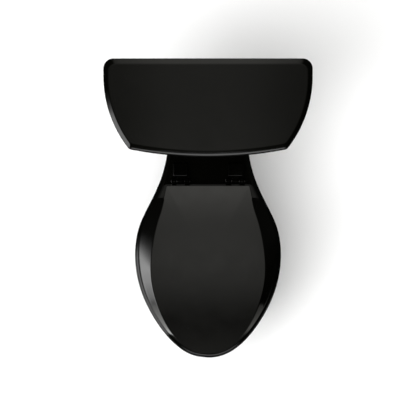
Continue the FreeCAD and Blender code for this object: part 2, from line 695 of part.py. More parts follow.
def flush_valve_body():
    """Threaded shank, flange, valve seat and the overflow tube beside it, with the flapper's pegs."""
    flange_low = TANK_INSIDE + 3
    outside = fuse(
        upright(0, VALVE_Y, 394, flange_low, SHANK_R),
        upright(0, VALVE_Y, flange_low, flange_low + 6, 40.0),
        upright(0, VALVE_Y, flange_low + 6, SEAT_TOP, THROAT_R + 6),
        rod(9.0, (FLAPPER_X, VALVE_Y, PORT_Z), (0, VALVE_Y, PORT_Z)),
        upright(FLAPPER_X, VALVE_Y, 443, OVERFLOW_TOP, OVERFLOW_R),
        rod(PEG_R, (FLAPPER_X, VALVE_Y - 26, FLAPPER_Z), (FLAPPER_X, VALVE_Y + 26, FLAPPER_Z)),
    )
    throat = upright(0, VALVE_Y, 390, SEAT_TOP + 1, THROAT_R)
    overflow = upright(FLAPPER_X, VALVE_Y, 446, OVERFLOW_TOP + 1, OVERFLOW_BORE)
    crossing = rod(6.5, (FLAPPER_X, VALVE_Y, PORT_Z), (0, VALVE_Y, PORT_Z))
    return outside.cut([throat, overflow, crossing])


def flush_valve_washer():
    return sleeve(0, VALVE_Y, TANK_INSIDE, TANK_INSIDE + 3, 42.0, SHANK_R)


def flush_valve_locknut():
    return hexagon_nut(0, VALVE_Y, NUT_LOW, TANK_BOTTOM, 74.0, SHANK_R)


def flapper():
    """A disc over the valve seat with a bulb below, a dome above, two hinge arms and a fin for the chain."""
    low = SEAT_TOP + REST_GAP + 0.1
    disc = upright(0, VALVE_Y, low, low + 4, 33.0)
    bulb = Part.makeCone(17.0, 23.0, 14.0, Vector(0, VALVE_Y, low - 14))
    dome = Part.makeCone(22.0, 12.0, 9.0, Vector(0, VALVE_Y, low + 4))
    web = block((-36, -20), (VALVE_Y - 23, VALVE_Y + 23), (low + 1, low + 9))
    arms = []
    for y in (VALVE_Y - 23, VALVE_Y + 17):
        arm = block((FLAPPER_X, -20), (y, y + 6), (FLAPPER_Z - 5, FLAPPER_Z + 1))
        eye = rod(6.0, (FLAPPER_X, y, FLAPPER_Z), (FLAPPER_X, y + 6, FLAPPER_Z))
        arms.append(fuse(arm, eye))
    fin = block((CHAIN_X - 7, CHAIN_X + 7), (VALVE_Y - 1.2, VALVE_Y + 1.2), (low + 3, CHAIN_BOTTOM))
    fin_eye = rod(7.0, (CHAIN_X, VALVE_Y - 1.2, CHAIN_BOTTOM), (CHAIN_X, VALVE_Y + 1.2, CHAIN_BOTTOM))
    fin_hole = rod(4.2, (CHAIN_X, VALVE_Y - 2, CHAIN_BOTTOM), (CHAIN_X, VALVE_Y + 2, CHAIN_BOTTOM))
    peg_ends = [(FLAPPER_X, VALVE_Y + way * 30, FLAPPER_Z) for way in (-1, 1)]
    pegs = rod(PEG_R + PIN_CLEARANCE, *peg_ends)
    return fuse(disc, bulb, dome, web, fin, fin_eye, *arms).cut([fin_hole, pegs])


LINK_R = 5.0              # ring at each end of the chain, threaded through arm and flapper
LINK_WIRE = 0.8


def end_ring(z):
    return Part.makeTorus(LINK_R, LINK_WIRE, Vector(CHAIN_X, VALVE_Y, z), Vector(1, 0, 0))


def lift_chain():
    """A bead chain, turned as one solid about its own line, with the ring it hangs by."""
    low, high = CHAIN_BOTTOM + 2 * LINK_R + 3, CHAIN_TOP - 2 * LINK_R
    bead, neck, pitch = 1.7, 0.6, 4.5
    count = int((high - low) / pitch)
    edges, at = [], Vector(0, 0, low)
    reach = math.sqrt(bead * bead - neck * neck)
    for i in range(count):
        z = low + pitch * (i + 0.5)
        start, end = Vector(neck, 0, z - reach), Vector(neck, 0, z + reach)
        if i == 0:
            edges.append(Part.LineSegment(at, Vector(neck, 0, low)).toShape())
            at = Vector(neck, 0, low)
        edges.append(Part.LineSegment(at, start).toShape())
        edges.append(Part.Arc(start, Vector(bead, 0, z), end).toShape())
        at = end
    edges.append(Part.LineSegment(at, Vector(neck, 0, high)).toShape())
    edges.append(Part.LineSegment(Vector(neck, 0, high), Vector(0, 0, high)).toShape())
    edges.append(Part.LineSegment(Vector(0, 0, high), Vector(0, 0, low)).toShape())
    string = Part.Face(Part.Wire(edges)).revolve(Vector(0, 0, 0), Vector(0, 0, 1), 360)
    string.translate(Vector(CHAIN_X, VALVE_Y, 0))
    return fuse(string, end_ring(CHAIN_TOP - LINK_R))


def chain_clip():
    """The ring and sleeve that fasten the chain's lower end to the flapper."""
    ring = end_ring(CHAIN_BOTTOM + LINK_R)
    low = CHAIN_BOTTOM + 2 * LINK_R
    return fuse(ring, upright(CHAIN_X, VALVE_Y, low - 0.5, low + 3, 1.6))


def build_flush_valve():
    export("flush_valve_body", flush_valve_body())
    export("flush_valve_washer", flush_valve_washer())
    export("flush_valve_locknut", flush_valve_locknut())
    export("flapper", flapper())
    export("lift_chain", lift_chain())
    export("chain_clip", chain_clip())


# ---------------------------------------------------------------- trip lever
SPINDLE_R = 5.0
BUSHING_R = 8.5
HANDLE_GAP = 0.3


def trip_lever_handle():
    """A slim paddle that follows the cistern's bowed front, on a spindle that turns in the bushing."""
    face = BOSS_FACE - 2.0 - HANDLE_GAP
    hub = rod(11.0, (LEVER_X, face - 5.5, LEVER_Z), (LEVER_X, face, LEVER_Z))
    spindle = rod(SPINDLE_R, (LEVER_X, face - 1, LEVER_Z), (LEVER_X, BOSS_BACK + 17, LEVER_Z))
    tip_x, tip_back = LEVER_X - 62, 6.5
    plan = [
        (LEVER_X, face - 5.5),
        (tip_x, face - 5.5 + tip_back),
        (tip_x, face - 0.5 + tip_back),
        (LEVER_X - 14, face - 0.6),
        (LEVER_X, face - 0.6),
    ]
    corners = [Vector(x, y, LEVER_Z - 12) for x, y in plan]
    strip = Part.Face(Part.makePolygon(corners + corners[:1])).extrude(Vector(0, 0, 24))
    side = [(LEVER_X, 5.0), (tip_x + 7, 7.5), (tip_x + 7, -7.5), (LEVER_X, -5.0)]
    corners = [Vector(x, face - 20, LEVER_Z + z) for x, z in side]
    taper = Part.Face(Part.makePolygon(corners + corners[:1])).extrude(Vector(0, 40, 0))
    tip = rod(7.5, (tip_x + 7.5, face - 20, LEVER_Z), (tip_x + 7.5, face + 20, LEVER_Z))
    return fuse(strip.common(fuse(taper, tip)), hub, spindle)


def trip_lever_bushing():
    flange = rod(12.5, (LEVER_X, BOSS_FACE - 2, LEVER_Z), (LEVER_X, BOSS_FACE, LEVER_Z))
    barrel = rod(BUSHING_R, (LEVER_X, BOSS_FACE, LEVER_Z), (LEVER_X, BOSS_BACK + 9, LEVER_Z))
    bore_ends = [(LEVER_X, y, LEVER_Z) for y in (BOSS_FACE - 3, BOSS_BACK + 10)]
    bore = rod(SPINDLE_R + PIN_CLEARANCE, *bore_ends)
    return fuse(flange, barrel).cut(bore)


def trip_lever_nut():
    nut = hexagon_nut(0, 0, 0, 7, 24.0, BUSHING_R)
    nut.rotate(Vector(0, 0, 0), Vector(1, 0, 0), -90)
    nut.translate(Vector(LEVER_X, BOSS_BACK, LEVER_Z))
    return nut


def trip_lever_arm():
    """A hub clamped on the spindle and a bent rod that ends in an eye over the flapper."""
    hub_y = (BOSS_BACK + 10, BOSS_BACK + 17)
    middle = sum(hub_y) / 2
    hub = rod(8.5, (LEVER_X, hub_y[0], LEVER_Z), (LEVER_X, hub_y[1], LEVER_Z))
    bore = rod(SPINDLE_R, (LEVER_X, hub_y[0] - 1, LEVER_Z), (LEVER_X, hub_y[1] + 1, LEVER_Z))
    route = [
        (LEVER_X + 6.5, middle, LEVER_Z),
        (LEVER_X + 34, middle, LEVER_Z - 3),
        (CHAIN_X - 32, VALVE_Y, CHAIN_TOP + 4),
        (CHAIN_X - 4.5, VALVE_Y, CHAIN_TOP),
    ]
    bar = pipe(rounded_path(route, [12.0, 12.0]), 2.6)
    eye = rod(5.5, (CHAIN_X, VALVE_Y - 1.2, CHAIN_TOP), (CHAIN_X, VALVE_Y + 1.2, CHAIN_TOP))
    hole = rod(3.0, (CHAIN_X, VALVE_Y - 4, CHAIN_TOP), (CHAIN_X, VALVE_Y + 4, CHAIN_TOP))
    return fuse(hub, bar, eye).cut([hole, bore])


def build_trip_lever():
    export("trip_lever_handle", trip_lever_handle())
    export("trip_lever_bushing", trip_lever_bushing())
    export("trip_lever_nut", trip_lever_nut())
    export("trip_lever_arm", trip_lever_arm())


# ---------------------------------------------------------------- fill valve
SUPPLY_R = 11.1
SUPPLY_LOW = 379.0
SUPPLY_HIGH = 409.0
TAIL_R = 11.6
RISER_R = 15.0
HEAD_LOW = 655.0
HEAD_TOP = 690.0
PIVOT_X = FILL_X + 12.0
PIVOT_Z = 703.0
PIVOT_R = 2.0
LEVER_REACH = 48.0
LEVER_DROP = 13.25        # degrees below level with the float down
CUP_LOW = 545.0
CUP_TOP = 610.0
REFILL_X = FLAPPER_X - 5.0


def fill_valve_body():
    """The threaded tail for the supply, the flange inside the cistern and the riser."""
    solid = fuse(
        upright(FILL_X, FILL_Y, SUPPLY_LOW, SUPPLY_HIGH, SUPPLY_R),
        upright(FILL_X, FILL_Y, SUPPLY_HIGH, TANK_INSIDE + 5, TAIL_R),
        upright(FILL_X, FILL_Y, TANK_INSIDE + 5, TANK_INSIDE + 11, 21.0),
        upright(FILL_X, FILL_Y, TANK_INSIDE + 11, HEAD_LOW, RISER_R),
    )
    return solid.cut(upright(FILL_X, FILL_Y, SUPPLY_LOW - 1, HEAD_LOW - 12, 8.0))


def fill_valve_washer():
    return sleeve(FILL_X, FILL_Y, TANK_INSIDE, TANK_INSIDE + 5, 20.0, TAIL_R)


def fill_valve_nut():
    return hexagon_nut(FILL_X, FILL_Y, NUT_LOW, TANK_BOTTOM, 34.0, TAIL_R)


def fill_valve_head():
    """The valve's head with the two ears that carry the lever's pin, and the refill nipple."""
    drum = upright(FILL_X, FILL_Y, HEAD_LOW, HEAD_TOP - 6, 24.0)
    cap = upright(FILL_X, FILL_Y, HEAD_TOP - 6, HEAD_TOP, 21.0)
    ears = []
    for side in (-1, 1):
        y = sorted((FILL_Y + side * 4.4, FILL_Y + side * 7.4))
        ear = block((PIVOT_X - 5, PIVOT_X + 5), y, (HEAD_TOP - 1, PIVOT_Z))
        ears += [ear, rod(5.0, (PIVOT_X, y[0], PIVOT_Z), (PIVOT_X, y[1], PIVOT_Z))]
    pin = rod(PIVOT_R, (PIVOT_X, FILL_Y - 9, PIVOT_Z), (PIVOT_X, FILL_Y + 9, PIVOT_Z))
    nipple = rod(3.4, (FILL_X + 20, FILL_Y, HEAD_LOW + 12), (FILL_X + 30, FILL_Y, HEAD_LOW + 12))
    return fuse(drum, cap, *ears, pin, nipple)


def fill_valve_lever():
    """The rocker that the float lifts: a flat bar with an eye around the float rod."""
    bar = block((PIVOT_X - LEVER_REACH, PIVOT_X + 6), (FILL_Y - 4, FILL_Y + 4), (PIVOT_Z - 2, PIVOT_Z + 2))
    boss = rod(4.5, (PIVOT_X, FILL_Y - 4, PIVOT_Z), (PIVOT_X, FILL_Y + 4, PIVOT_Z))
    eye = upright(PIVOT_X - LEVER_REACH, FILL_Y, PIVOT_Z - 2, PIVOT_Z + 2, 7.0)
    hole = upright(PIVOT_X - LEVER_REACH, FILL_Y, PIVOT_Z - 3, PIVOT_Z + 3, 3.6)
    pin = rod(PIVOT_R + PIN_CLEARANCE, (PIVOT_X, FILL_Y - 5, PIVOT_Z), (PIVOT_X, FILL_Y + 5, PIVOT_Z))
    lever = fuse(bar, boss, eye).cut([hole, pin])
    lever.rotate(Vector(PIVOT_X, FILL_Y, PIVOT_Z), Vector(0, -1, 0), LEVER_DROP)
    return lever


def float_cup():
    """An upside-down cup that slides on the riser, with a lug for its rod."""
    cup = upright(FILL_X, FILL_Y, CUP_LOW, CUP_TOP, 32.0)
    air = sleeve(FILL_X, FILL_Y, CUP_LOW - 1, CUP_TOP - 3, 29.5, 20.0)
    lug = block((FLOAT_ROD_X - 5, FILL_X - 28), (FILL_Y - 5, FILL_Y + 5), (CUP_TOP - 12, CUP_TOP - 4))
    bore = upright(FILL_X, FILL_Y, CUP_LOW - 2, CUP_TOP + 1, RISER_R + 2.5)
    hole = upright(FLOAT_ROD_X, FILL_Y, CUP_LOW, CUP_TOP + 1, 1.5)
    return fuse(cup.cut(air), lug).cut([bore, hole])


def float_rod():
    """The wire from the float to the lever, with a collar below and above the lever's eye."""
    eye_z = PIVOT_Z - LEVER_REACH * math.sin(math.radians(LEVER_DROP))
    wire = upright(FLOAT_ROD_X, FILL_Y, CUP_TOP - 16, eye_z + 8, 1.5)
    below = upright(FLOAT_ROD_X, FILL_Y, eye_z - 6.5, eye_z - 4.5, 4.6)
    above = upright(FLOAT_ROD_X, FILL_Y, eye_z + 4.5, eye_z + 6.5, 4.6)
    return fuse(wire, below, above)


def refill_tube():
    """The soft tube from the head's nipple over to the overflow, ending inside it."""
    start_z = HEAD_LOW + 12
    top = OVERFLOW_TOP + 26
    route = [
        (FILL_X + 30, FILL_Y, start_z),
        (FILL_X + 48, FILL_Y, start_z),
        (FILL_X + 58, FILL_Y - 6, top),
        (REFILL_X, VALVE_Y, top),
        (REFILL_X, VALVE_Y, OVERFLOW_TOP - 6),
    ]
    return pipe(rounded_path(route, [9.0, 9.0, 13.0]), 3.2)


def refill_clip():
    """A saddle over the overflow's rim that holds the end of the refill tube."""
    holder = sleeve(REFILL_X, VALVE_Y, OVERFLOW_TOP - 2, OVERFLOW_TOP + 8, 5.0, 3.2)
    rim_x = FLAPPER_X - OVERFLOW_R
    width, top = (VALVE_Y - 3, VALVE_Y + 3), OVERFLOW_TOP + 2.5
    bridge = block((rim_x - 2.6, REFILL_X - 4), width, (OVERFLOW_TOP, top))
    leg = block((rim_x - 2.6, rim_x), width, (OVERFLOW_TOP - 12, top))
    return fuse(holder, bridge, leg)


def build_fill_valve():
    export("fill_valve_body", fill_valve_body())
    export("fill_valve_washer", fill_valve_washer())
    export("fill_valve_nut", fill_valve_nut())
    export("fill_valve_head", fill_valve_head())
    export("fill_valve_lever", fill_valve_lever())
    export("float_cup", float_cup())
    export("float_rod", float_rod())
    export("refill_tube", refill_tube())
    export("refill_clip", refill_clip())


# ---------------------------------------------------------------- floor bolt covers
CAP_SKIRT_R = 17.0


def bolt_cap_bases():
    outer, inner = CAP_SKIRT_R - 2.2, CLOSET_HOLE_R + 0.5
    return pair(sleeve(CLOSET_BOLT_X, OUTLET_Y, FOOT_TOP, FOOT_TOP + 3, outer, inner))


def bolt_caps():
    """Hollow snap caps with rounded tops."""
    top = FOOT_TOP + 26.0
    cap = upright(CLOSET_BOLT_X, OUTLET_Y, FOOT_TOP, top, CAP_SKIRT_R)
    cap = cap.makeFillet(7.0, [e for e in cap.Edges if e.BoundBox.ZMin > top - 0.1])
    room = upright(CLOSET_BOLT_X, OUTLET_Y, FOOT_TOP - 1, top - 4, CAP_SKIRT_R - 2.0)
    room = room.makeFillet(5.0, [e for e in room.Edges if e.BoundBox.ZMin > FOOT_TOP + 5])
    return pair(cap.cut(room))


def build_floor_covers():
    export("bolt_cap_bases", *bolt_cap_bases())
    export("bolt_caps", *bolt_caps())


def main():
    build_bowl()
    export("tank", tank())
    export("tank_lid", tank_lid())
    build_seat()
    build_tank_fixings()
    build_flush_valve()
    build_trip_lever()
    build_fill_valve()
    build_floor_covers()


main()
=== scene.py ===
import json
import math

import bmesh
import bpy
import numpy as np
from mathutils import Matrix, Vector


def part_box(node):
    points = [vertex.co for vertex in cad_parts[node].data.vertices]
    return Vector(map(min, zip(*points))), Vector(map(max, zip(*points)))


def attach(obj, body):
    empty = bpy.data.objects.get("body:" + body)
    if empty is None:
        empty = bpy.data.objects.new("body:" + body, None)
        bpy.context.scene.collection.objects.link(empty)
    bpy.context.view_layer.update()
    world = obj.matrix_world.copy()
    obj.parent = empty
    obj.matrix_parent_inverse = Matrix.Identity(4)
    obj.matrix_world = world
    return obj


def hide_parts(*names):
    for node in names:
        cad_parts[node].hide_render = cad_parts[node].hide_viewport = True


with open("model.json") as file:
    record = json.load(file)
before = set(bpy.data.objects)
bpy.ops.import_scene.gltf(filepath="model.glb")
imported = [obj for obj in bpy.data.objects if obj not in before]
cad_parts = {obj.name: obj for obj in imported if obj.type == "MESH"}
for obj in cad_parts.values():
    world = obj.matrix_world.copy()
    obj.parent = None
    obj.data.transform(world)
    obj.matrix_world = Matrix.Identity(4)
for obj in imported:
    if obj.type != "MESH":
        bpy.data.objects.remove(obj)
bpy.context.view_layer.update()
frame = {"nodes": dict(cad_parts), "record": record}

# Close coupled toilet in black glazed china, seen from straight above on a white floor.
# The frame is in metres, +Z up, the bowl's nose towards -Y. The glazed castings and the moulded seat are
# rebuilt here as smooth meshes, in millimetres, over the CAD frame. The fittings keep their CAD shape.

MM = 0.001


def box_mm(node):
    """The low and high corners of a CAD node's box, in millimetres."""
    low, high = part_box(node)
    return low / MM, high / MM


LID_LOW, LID_HIGH = box_mm("tank_lid")
TANK_LOW, TANK_HIGH = box_mm("tank")
COVER_LOW, COVER_HIGH = box_mm("seat_cover")
RIM_TOP = box_mm("bowl_rim")[1].z
BOWL_NODES = ["bowl_foot", "bowl_waist", "bowl_pan", "bowl_rim"]
COVER_EDGE = RIM_TOP + 23.5       # lower edge of the seat cover
LID_BOTTOM = TANK_HIGH.z

# ---------------------------------------------------------------- shaping helpers


def cubic_curve(knots, values, samples):
    """A natural cubic spline through values at knots, read at samples."""
    knots, values = np.array(knots, float), np.array(values, float)
    steps = np.diff(knots)
    count = len(knots)
    matrix, right = np.eye(count), np.zeros((count, values.shape[1]))
    for i in range(1, count - 1):
        matrix[i, i - 1:i + 2] = steps[i - 1], 2 * (steps[i - 1] + steps[i]), steps[i]
        slopes = np.diff(values[i - 1:i + 2], axis=0) / steps[i - 1:i + 1, None]
        right[i] = 6 * (slopes[1] - slopes[0])
    bend = np.linalg.solve(matrix, right)
    samples = np.array(samples, float)
    at = np.clip(np.searchsorted(knots, samples, side="right") - 1, 0, count - 2)
    h = steps[at][:, None]
    a = (knots[at + 1][:, None] - samples[:, None]) / h
    b = 1 - a
    straight = a * values[at] + b * values[at + 1]
    return straight + ((a ** 3 - a) * bend[at] + (b ** 3 - b) * bend[at + 1]) * h ** 2 / 6


def chord_knots(points):
    """The distance along the straight chords from the first point to each point."""
    return np.concatenate([[0.0], np.cumsum([math.dist(p, q) for p, q in zip(points, points[1:])])])


def arc(centre, radius, start, end, count):
    """Points of a circle between two angles in degrees, both ends included."""
    angles = np.radians(np.linspace(start, end, count))
    return [(centre[0] + radius * math.cos(a), centre[1] + radius * math.sin(a)) for a in angles]


def mirrored_loop(half):
    """A closed outline from its right-hand half, which runs from front to back of the centre line."""
    return list(half) + [(-x, y) for x, y in half[-2:0:-1]]


def tidy_mesh(mesh, sharp_angle):
    """Faces outwards, smooth shading, and hard edges only where two faces turn by more than the angle."""
    work = bmesh.new()
    work.from_mesh(mesh)
    bmesh.ops.recalc_face_normals(work, faces=work.faces)
    work.to_mesh(mesh)
    work.free()
    mesh.shade_smooth()
    mesh.set_sharp_from_angle(angle=math.radians(sharp_angle))


def new_piece(name, verts, faces, body, slot, *replaced, sharp_angle=40):
    """A mesh piece from points in millimetres."""
    mesh = bpy.data.meshes.new(name)
    mesh.from_pydata([(x * MM, y * MM, z * MM) for x, y, z in verts], [], faces)
    mesh.validate()
    tidy_mesh(mesh, sharp_angle)
    piece = bpy.data.objects.new(name, mesh)
    bpy.context.scene.collection.objects.link(piece)
    return settle(piece, body, slot, *replaced)


def settle(piece, body, slot, *replaced):
    """Puts a piece on its body, in its material slot, and in place of the CAD nodes it stands for."""
    piece.data.materials.clear()
    piece.data.materials.append(MATERIALS[slot])
    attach(piece, body)
    if replaced:
        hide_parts(*replaced)
    return piece


def stacked_loops(loops, ring=False):
    """Quads between closed loops of equal length. Each end gets a fan, or in a ring the ends are joined."""
    count = len(loops[0])
    verts = [tuple(p) for loop in loops for p in loop]
    pairs = list(zip(range(len(loops) - 1), range(1, len(loops))))
    if ring:
        pairs.append((len(loops) - 1, 0))
    faces = []
    for low, high in pairs:
        for i in range(count):
            j = (i + 1) % count
            faces.append((low * count + i, low * count + j, high * count + j, high * count + i))
    if not ring:
        for first, loop in ((0, loops[0]), ((len(loops) - 1) * count, loops[-1])):
            verts.append(tuple(np.mean(loop, axis=0)))
            middle = len(verts) - 1
            faces += [(middle, first + i, first + (i + 1) % count) for i in range(count)]
    return verts, faces


def joined(*shapes):
    """Several (verts, faces) shapes as one."""
    verts, faces = [], []
    for more_verts, more_faces in shapes:
        start = len(verts)
        verts += more_verts
        faces += [tuple(start + i for i in face) for face in more_faces]
    return verts, faces


def shrunk(loop, share, height):
    """A loop drawn towards its own middle to a share of its size, at a height."""
    middle = np.mean(loop, axis=0)
    return [(middle[0] + (x - middle[0]) * share, middle[1] + (y - middle[1]) * share, height)
            for x, y, _ in loop]


# ---------------------------------------------------------------- materials
class Nodes:
    """A small hand for wiring shader nodes."""

    def __init__(self, tree):
        self.tree = tree

    def add(self, kind, **settings):
        """A new node. A setting is the value of the input with its name, or else a choice of the node."""
        node = self.tree.nodes.new("ShaderNode" + kind)
        for key, value in settings.items():
            if key in node.inputs:
                node.inputs[key].default_value = value
            else:
                setattr(node, key, value)
        return node

    def link(self, source, target):
        self.tree.links.new(source, target)

    def math(self, operation, *inputs):
        """A maths node fed by sockets or plain numbers."""
        node = self.add("Math", operation=operation)
        for socket, given in zip(node.inputs, inputs):
            if isinstance(given, (int, float)):
                socket.default_value = given
            else:
                self.link(given, socket)
        return node.outputs[0]

    def ramp(self, source, low, high, stops):
        """A piecewise line through (value, result) stops."""
        span = self.add("MapRange")
        span.inputs["From Min"].default_value, span.inputs["From Max"].default_value = low, high
        self.link(source, span.inputs["Value"])
        ramp = self.add("ValToRGB")
        elements = ramp.color_ramp.elements
        for _ in stops[2:]:
            elements.new(0.5)
        for element, (value, result) in zip(elements, stops):
            element.position = (value - low) / (high - low)
            element.color = (result, result, result, 1)
        self.link(span.outputs["Result"], ramp.inputs["Fac"])
        return ramp.outputs["Color"]


def new_material(name, colour, roughness, metallic=0.0):
    """A material with its shader and a hand on its nodes."""
    material = bpy.data.materials.new(name)
    material.use_nodes = True
    shader = material.node_tree.nodes["Principled BSDF"]
    shader.inputs["Base Color"].default_value = (*colour, 1)
    shader.inputs["Roughness"].default_value = roughness
    shader.inputs["Metallic"].default_value = metallic
    return material, shader, Nodes(material.node_tree)


def noise(nodes, scale, detail=3.0, stretch=(1, 1, 1)):
    """Noise in the object's own place; stretch above 1 packs it tighter along that axis."""
    place = nodes.add("TexCoord")
    mapping = nodes.add("Mapping", Scale=stretch)
    nodes.link(place.outputs["Object"], mapping.inputs["Vector"])
    texture = nodes.add("TexNoise", Scale=scale, Detail=detail)
    nodes.link(mapping.outputs["Vector"], texture.inputs["Vector"])
    return texture.outputs["Fac"]


def cells(nodes, scale):
    """Distance from the middle of round cells."""
    place = nodes.add("TexCoord")
    texture = nodes.add("TexVoronoi", Scale=scale)
    nodes.link(place.outputs["Object"], texture.inputs["Vector"])
    return texture.outputs["Distance"]


def thread(nodes, pitch):
    """Ridges one pitch, in millimetres, apart up the z axis."""
    place = nodes.add("TexCoord")
    parts = nodes.add("SeparateXYZ")
    nodes.link(place.outputs["Object"], parts.inputs[0])
    turns = nodes.math("MULTIPLY", parts.outputs["Z"], 2 * math.pi / (pitch * MM))
    return nodes.math("SINE", turns)


def relief(nodes, shader, *layers):
    """Bump from (height source, depth in millimetres) layers, one on top of another."""
    below = None
    for source, depth in layers:
        bump = nodes.add("Bump", Distance=depth * MM)
        nodes.link(source, bump.inputs["Height"])
        if below:
            nodes.link(below, bump.inputs["Normal"])
        below = bump.outputs["Normal"]
    nodes.link(below, shader.inputs["Normal"])


def blend(nodes, shader, factor, low, high, colours, socket="Base Color"):
    """Run a socket from one colour to another while the factor goes from low to high."""
    span = nodes.add("MapRange")
    span.inputs["From Min"].default_value, span.inputs["From Max"].default_value = low, high
    nodes.link(factor, span.inputs["Value"])
    mix = nodes.add("Mix", data_type="RGBA")
    mix.inputs["A"].default_value, mix.inputs["B"].default_value = [(*colour, 1) for colour in colours]
    nodes.link(span.outputs["Result"], mix.inputs["Factor"])
    nodes.link(mix.outputs["Result"], shader.inputs[socket])


def spread(nodes, shader, factor, low, high, values, socket="Roughness"):
    """Run a number socket between two values while the factor goes from low to high."""
    span = nodes.add("MapRange")
    span.inputs["From Min"].default_value, span.inputs["From Max"].default_value = low, high
    span.inputs["To Min"].default_value, span.inputs["To Max"].default_value = values
    nodes.link(factor, span.inputs["Value"])
    nodes.link(span.outputs["Result"], shader.inputs[socket])


def china_glaze():
    """Thick black glaze: drifting depth of colour, faint wipe marks, and a slow orange peel."""
    material, shader, nodes = new_material("black_glaze", (0.001, 0.001, 0.001), 0.07)
    blend(nodes, shader, noise(nodes, 7.0), 0.3, 0.7, [(0.0006, 0.0006, 0.0004), (0.001, 0.001, 0.0007)])
    spread(nodes, shader, noise(nodes, 11.0, 6.0), 0.3, 0.7, (0.05, 0.09))
    relief(nodes, shader, (noise(nodes, 28.0, 1.0), 0.02), (noise(nodes, 140.0, 2.0), 0.004))
    shader.inputs["Specular IOR Level"].default_value = 0.23
    return material


def gloss_plastic(name, roughness, specular):
    """Pressed seat plastic: mirror-like with fine moulding waves and the haze that cleaning leaves."""
    material, shader, nodes = new_material(name, (0.0004, 0.0004, 0.0003), roughness)
    blend(nodes, shader, noise(nodes, 16.0), 0.3, 0.7, [(0.0002, 0.0002, 0.0001), (0.0006, 0.0006, 0.0004)])
    spread(nodes, shader, noise(nodes, 24.0, 6.0), 0.3, 0.7, (0.85 * roughness, 1.2 * roughness))
    relief(nodes, shader, (noise(nodes, 36.0, 1.0), 0.012), (noise(nodes, 900.0, 2.0), 0.0015))
    shader.inputs["Specular IOR Level"].default_value = specular
    return material


def moulded_plastic(name, colour, stain, roughness):
    """Plain moulded fitting: a fine tool grain, and hard-water stain that runs down in streaks."""
    material, shader, nodes = new_material(name, colour, roughness)
    streaks = noise(nodes, 60.0, 6.0, stretch=(1, 1, 0.25))
    blend(nodes, shader, streaks, 0.5, 0.8, [colour, stain])
    spread(nodes, shader, streaks, 0.35, 0.75, (0.85 * roughness, min(1.0, 1.3 * roughness)))
    relief(nodes, shader, (noise(nodes, 1400.0, 2.0), 0.02), (noise(nodes, 90.0, 2.0), 0.05))
    return material


def rubber(name, colour, bloom, pore=0.0):
    """Rubber with a dusty bloom; a pore depth in millimetres turns it into open sponge."""
    material, shader, nodes = new_material(name, colour, 0.7)
    dust = noise(nodes, 120.0, 8.0)
    blend(nodes, shader, dust, 0.4, 0.75, [colour, bloom])
    spread(nodes, shader, dust, 0.3, 0.7, (0.5, 0.85))
    layers = [(noise(nodes, 1100.0, 3.0), 0.03)]
    if pore:
        layers.append((cells(nodes, 520.0), pore))
    relief(nodes, shader, *layers)
    shader.inputs["Specular IOR Level"].default_value = 0.35
    return material


def metal(name, colour, tarnish, roughness, pitch=0.0):
    """Drawn or turned metal: fine lines along it, tarnish in patches, and a thread where it has one."""
    material, shader, nodes = new_material(name, colour, roughness, 1.0)
    patches = noise(nodes, 150.0, 7.0)
    blend(nodes, shader, patches, 0.45, 0.8, [colour, tarnish])
    spread(nodes, shader, patches, 0.3, 0.8, (0.8 * roughness, min(1.0, 1.9 * roughness)))
    layers = [(noise(nodes, 700.0, 3.0, stretch=(1, 1, 0.05)), 0.01)]
    if pitch:
        layers.append((thread(nodes, pitch), 0.25 * pitch))
    relief(nodes, shader, *layers)
    return material


BOLT_PITCH = 1.27         # of the cistern bolts' thread, in millimetres
MATERIALS = {
    "black_china": china_glaze(),
    "seat_plastic": gloss_plastic("black_plastic", 0.1, 0.5),
    "hinge_plastic": gloss_plastic("hinge_plastic", 0.2, 0.15),
    "cap_plastic": gloss_plastic("cap_plastic", 0.14, 0.4),
    "bumper_rubber": rubber("bumper_rubber", (0.03, 0.03, 0.03), (0.07, 0.068, 0.063)),
    "washer_rubber": rubber("washer_rubber", (0.035, 0.034, 0.033), (0.1, 0.096, 0.09)),
    "sponge_rubber": rubber("sponge_rubber", (0.025, 0.025, 0.025), (0.06, 0.058, 0.055), pore=0.5),
    "flapper_rubber": rubber("flapper_rubber", (0.42, 0.045, 0.03), (0.5, 0.16, 0.11)),
    "bolt_brass": metal("bolt_brass", (0.72, 0.52, 0.22), (0.34, 0.2, 0.08), 0.3, pitch=BOLT_PITCH),
    "arm_brass": metal("arm_brass", (0.7, 0.5, 0.21), (0.36, 0.24, 0.1), 0.28),
    "lever_chrome": metal("lever_chrome", (0.82, 0.82, 0.84), (0.74, 0.74, 0.76), 0.06),
    "pin_steel": metal("pin_steel", (0.6, 0.6, 0.61), (0.42, 0.4, 0.37), 0.25),
    "washer_steel": metal("washer_steel", (0.62, 0.62, 0.63), (0.44, 0.41, 0.37), 0.3),
    "chain_steel": metal("chain_steel", (0.6, 0.6, 0.6), (0.4, 0.37, 0.33), 0.3),
    "bolt_nylon": moulded_plastic("bolt_nylon", (0.74, 0.72, 0.66), (0.62, 0.56, 0.44), 0.45),
    "valve_plastic": moulded_plastic("valve_plastic", (0.8, 0.8, 0.77), (0.6, 0.55, 0.45), 0.4),
    "nut_plastic": moulded_plastic("nut_plastic", (0.83, 0.83, 0.81), (0.68, 0.64, 0.56), 0.42),
    "fill_plastic": moulded_plastic("fill_plastic", (0.035, 0.037, 0.04), (0.22, 0.21, 0.19), 0.45),
    "float_plastic": moulded_plastic("float_plastic", (0.12, 0.14, 0.18), (0.3, 0.29, 0.27), 0.45),
    "tube_vinyl": moulded_plastic("tube_vinyl", (0.66, 0.68, 0.65), (0.58, 0.54, 0.44), 0.28),
}

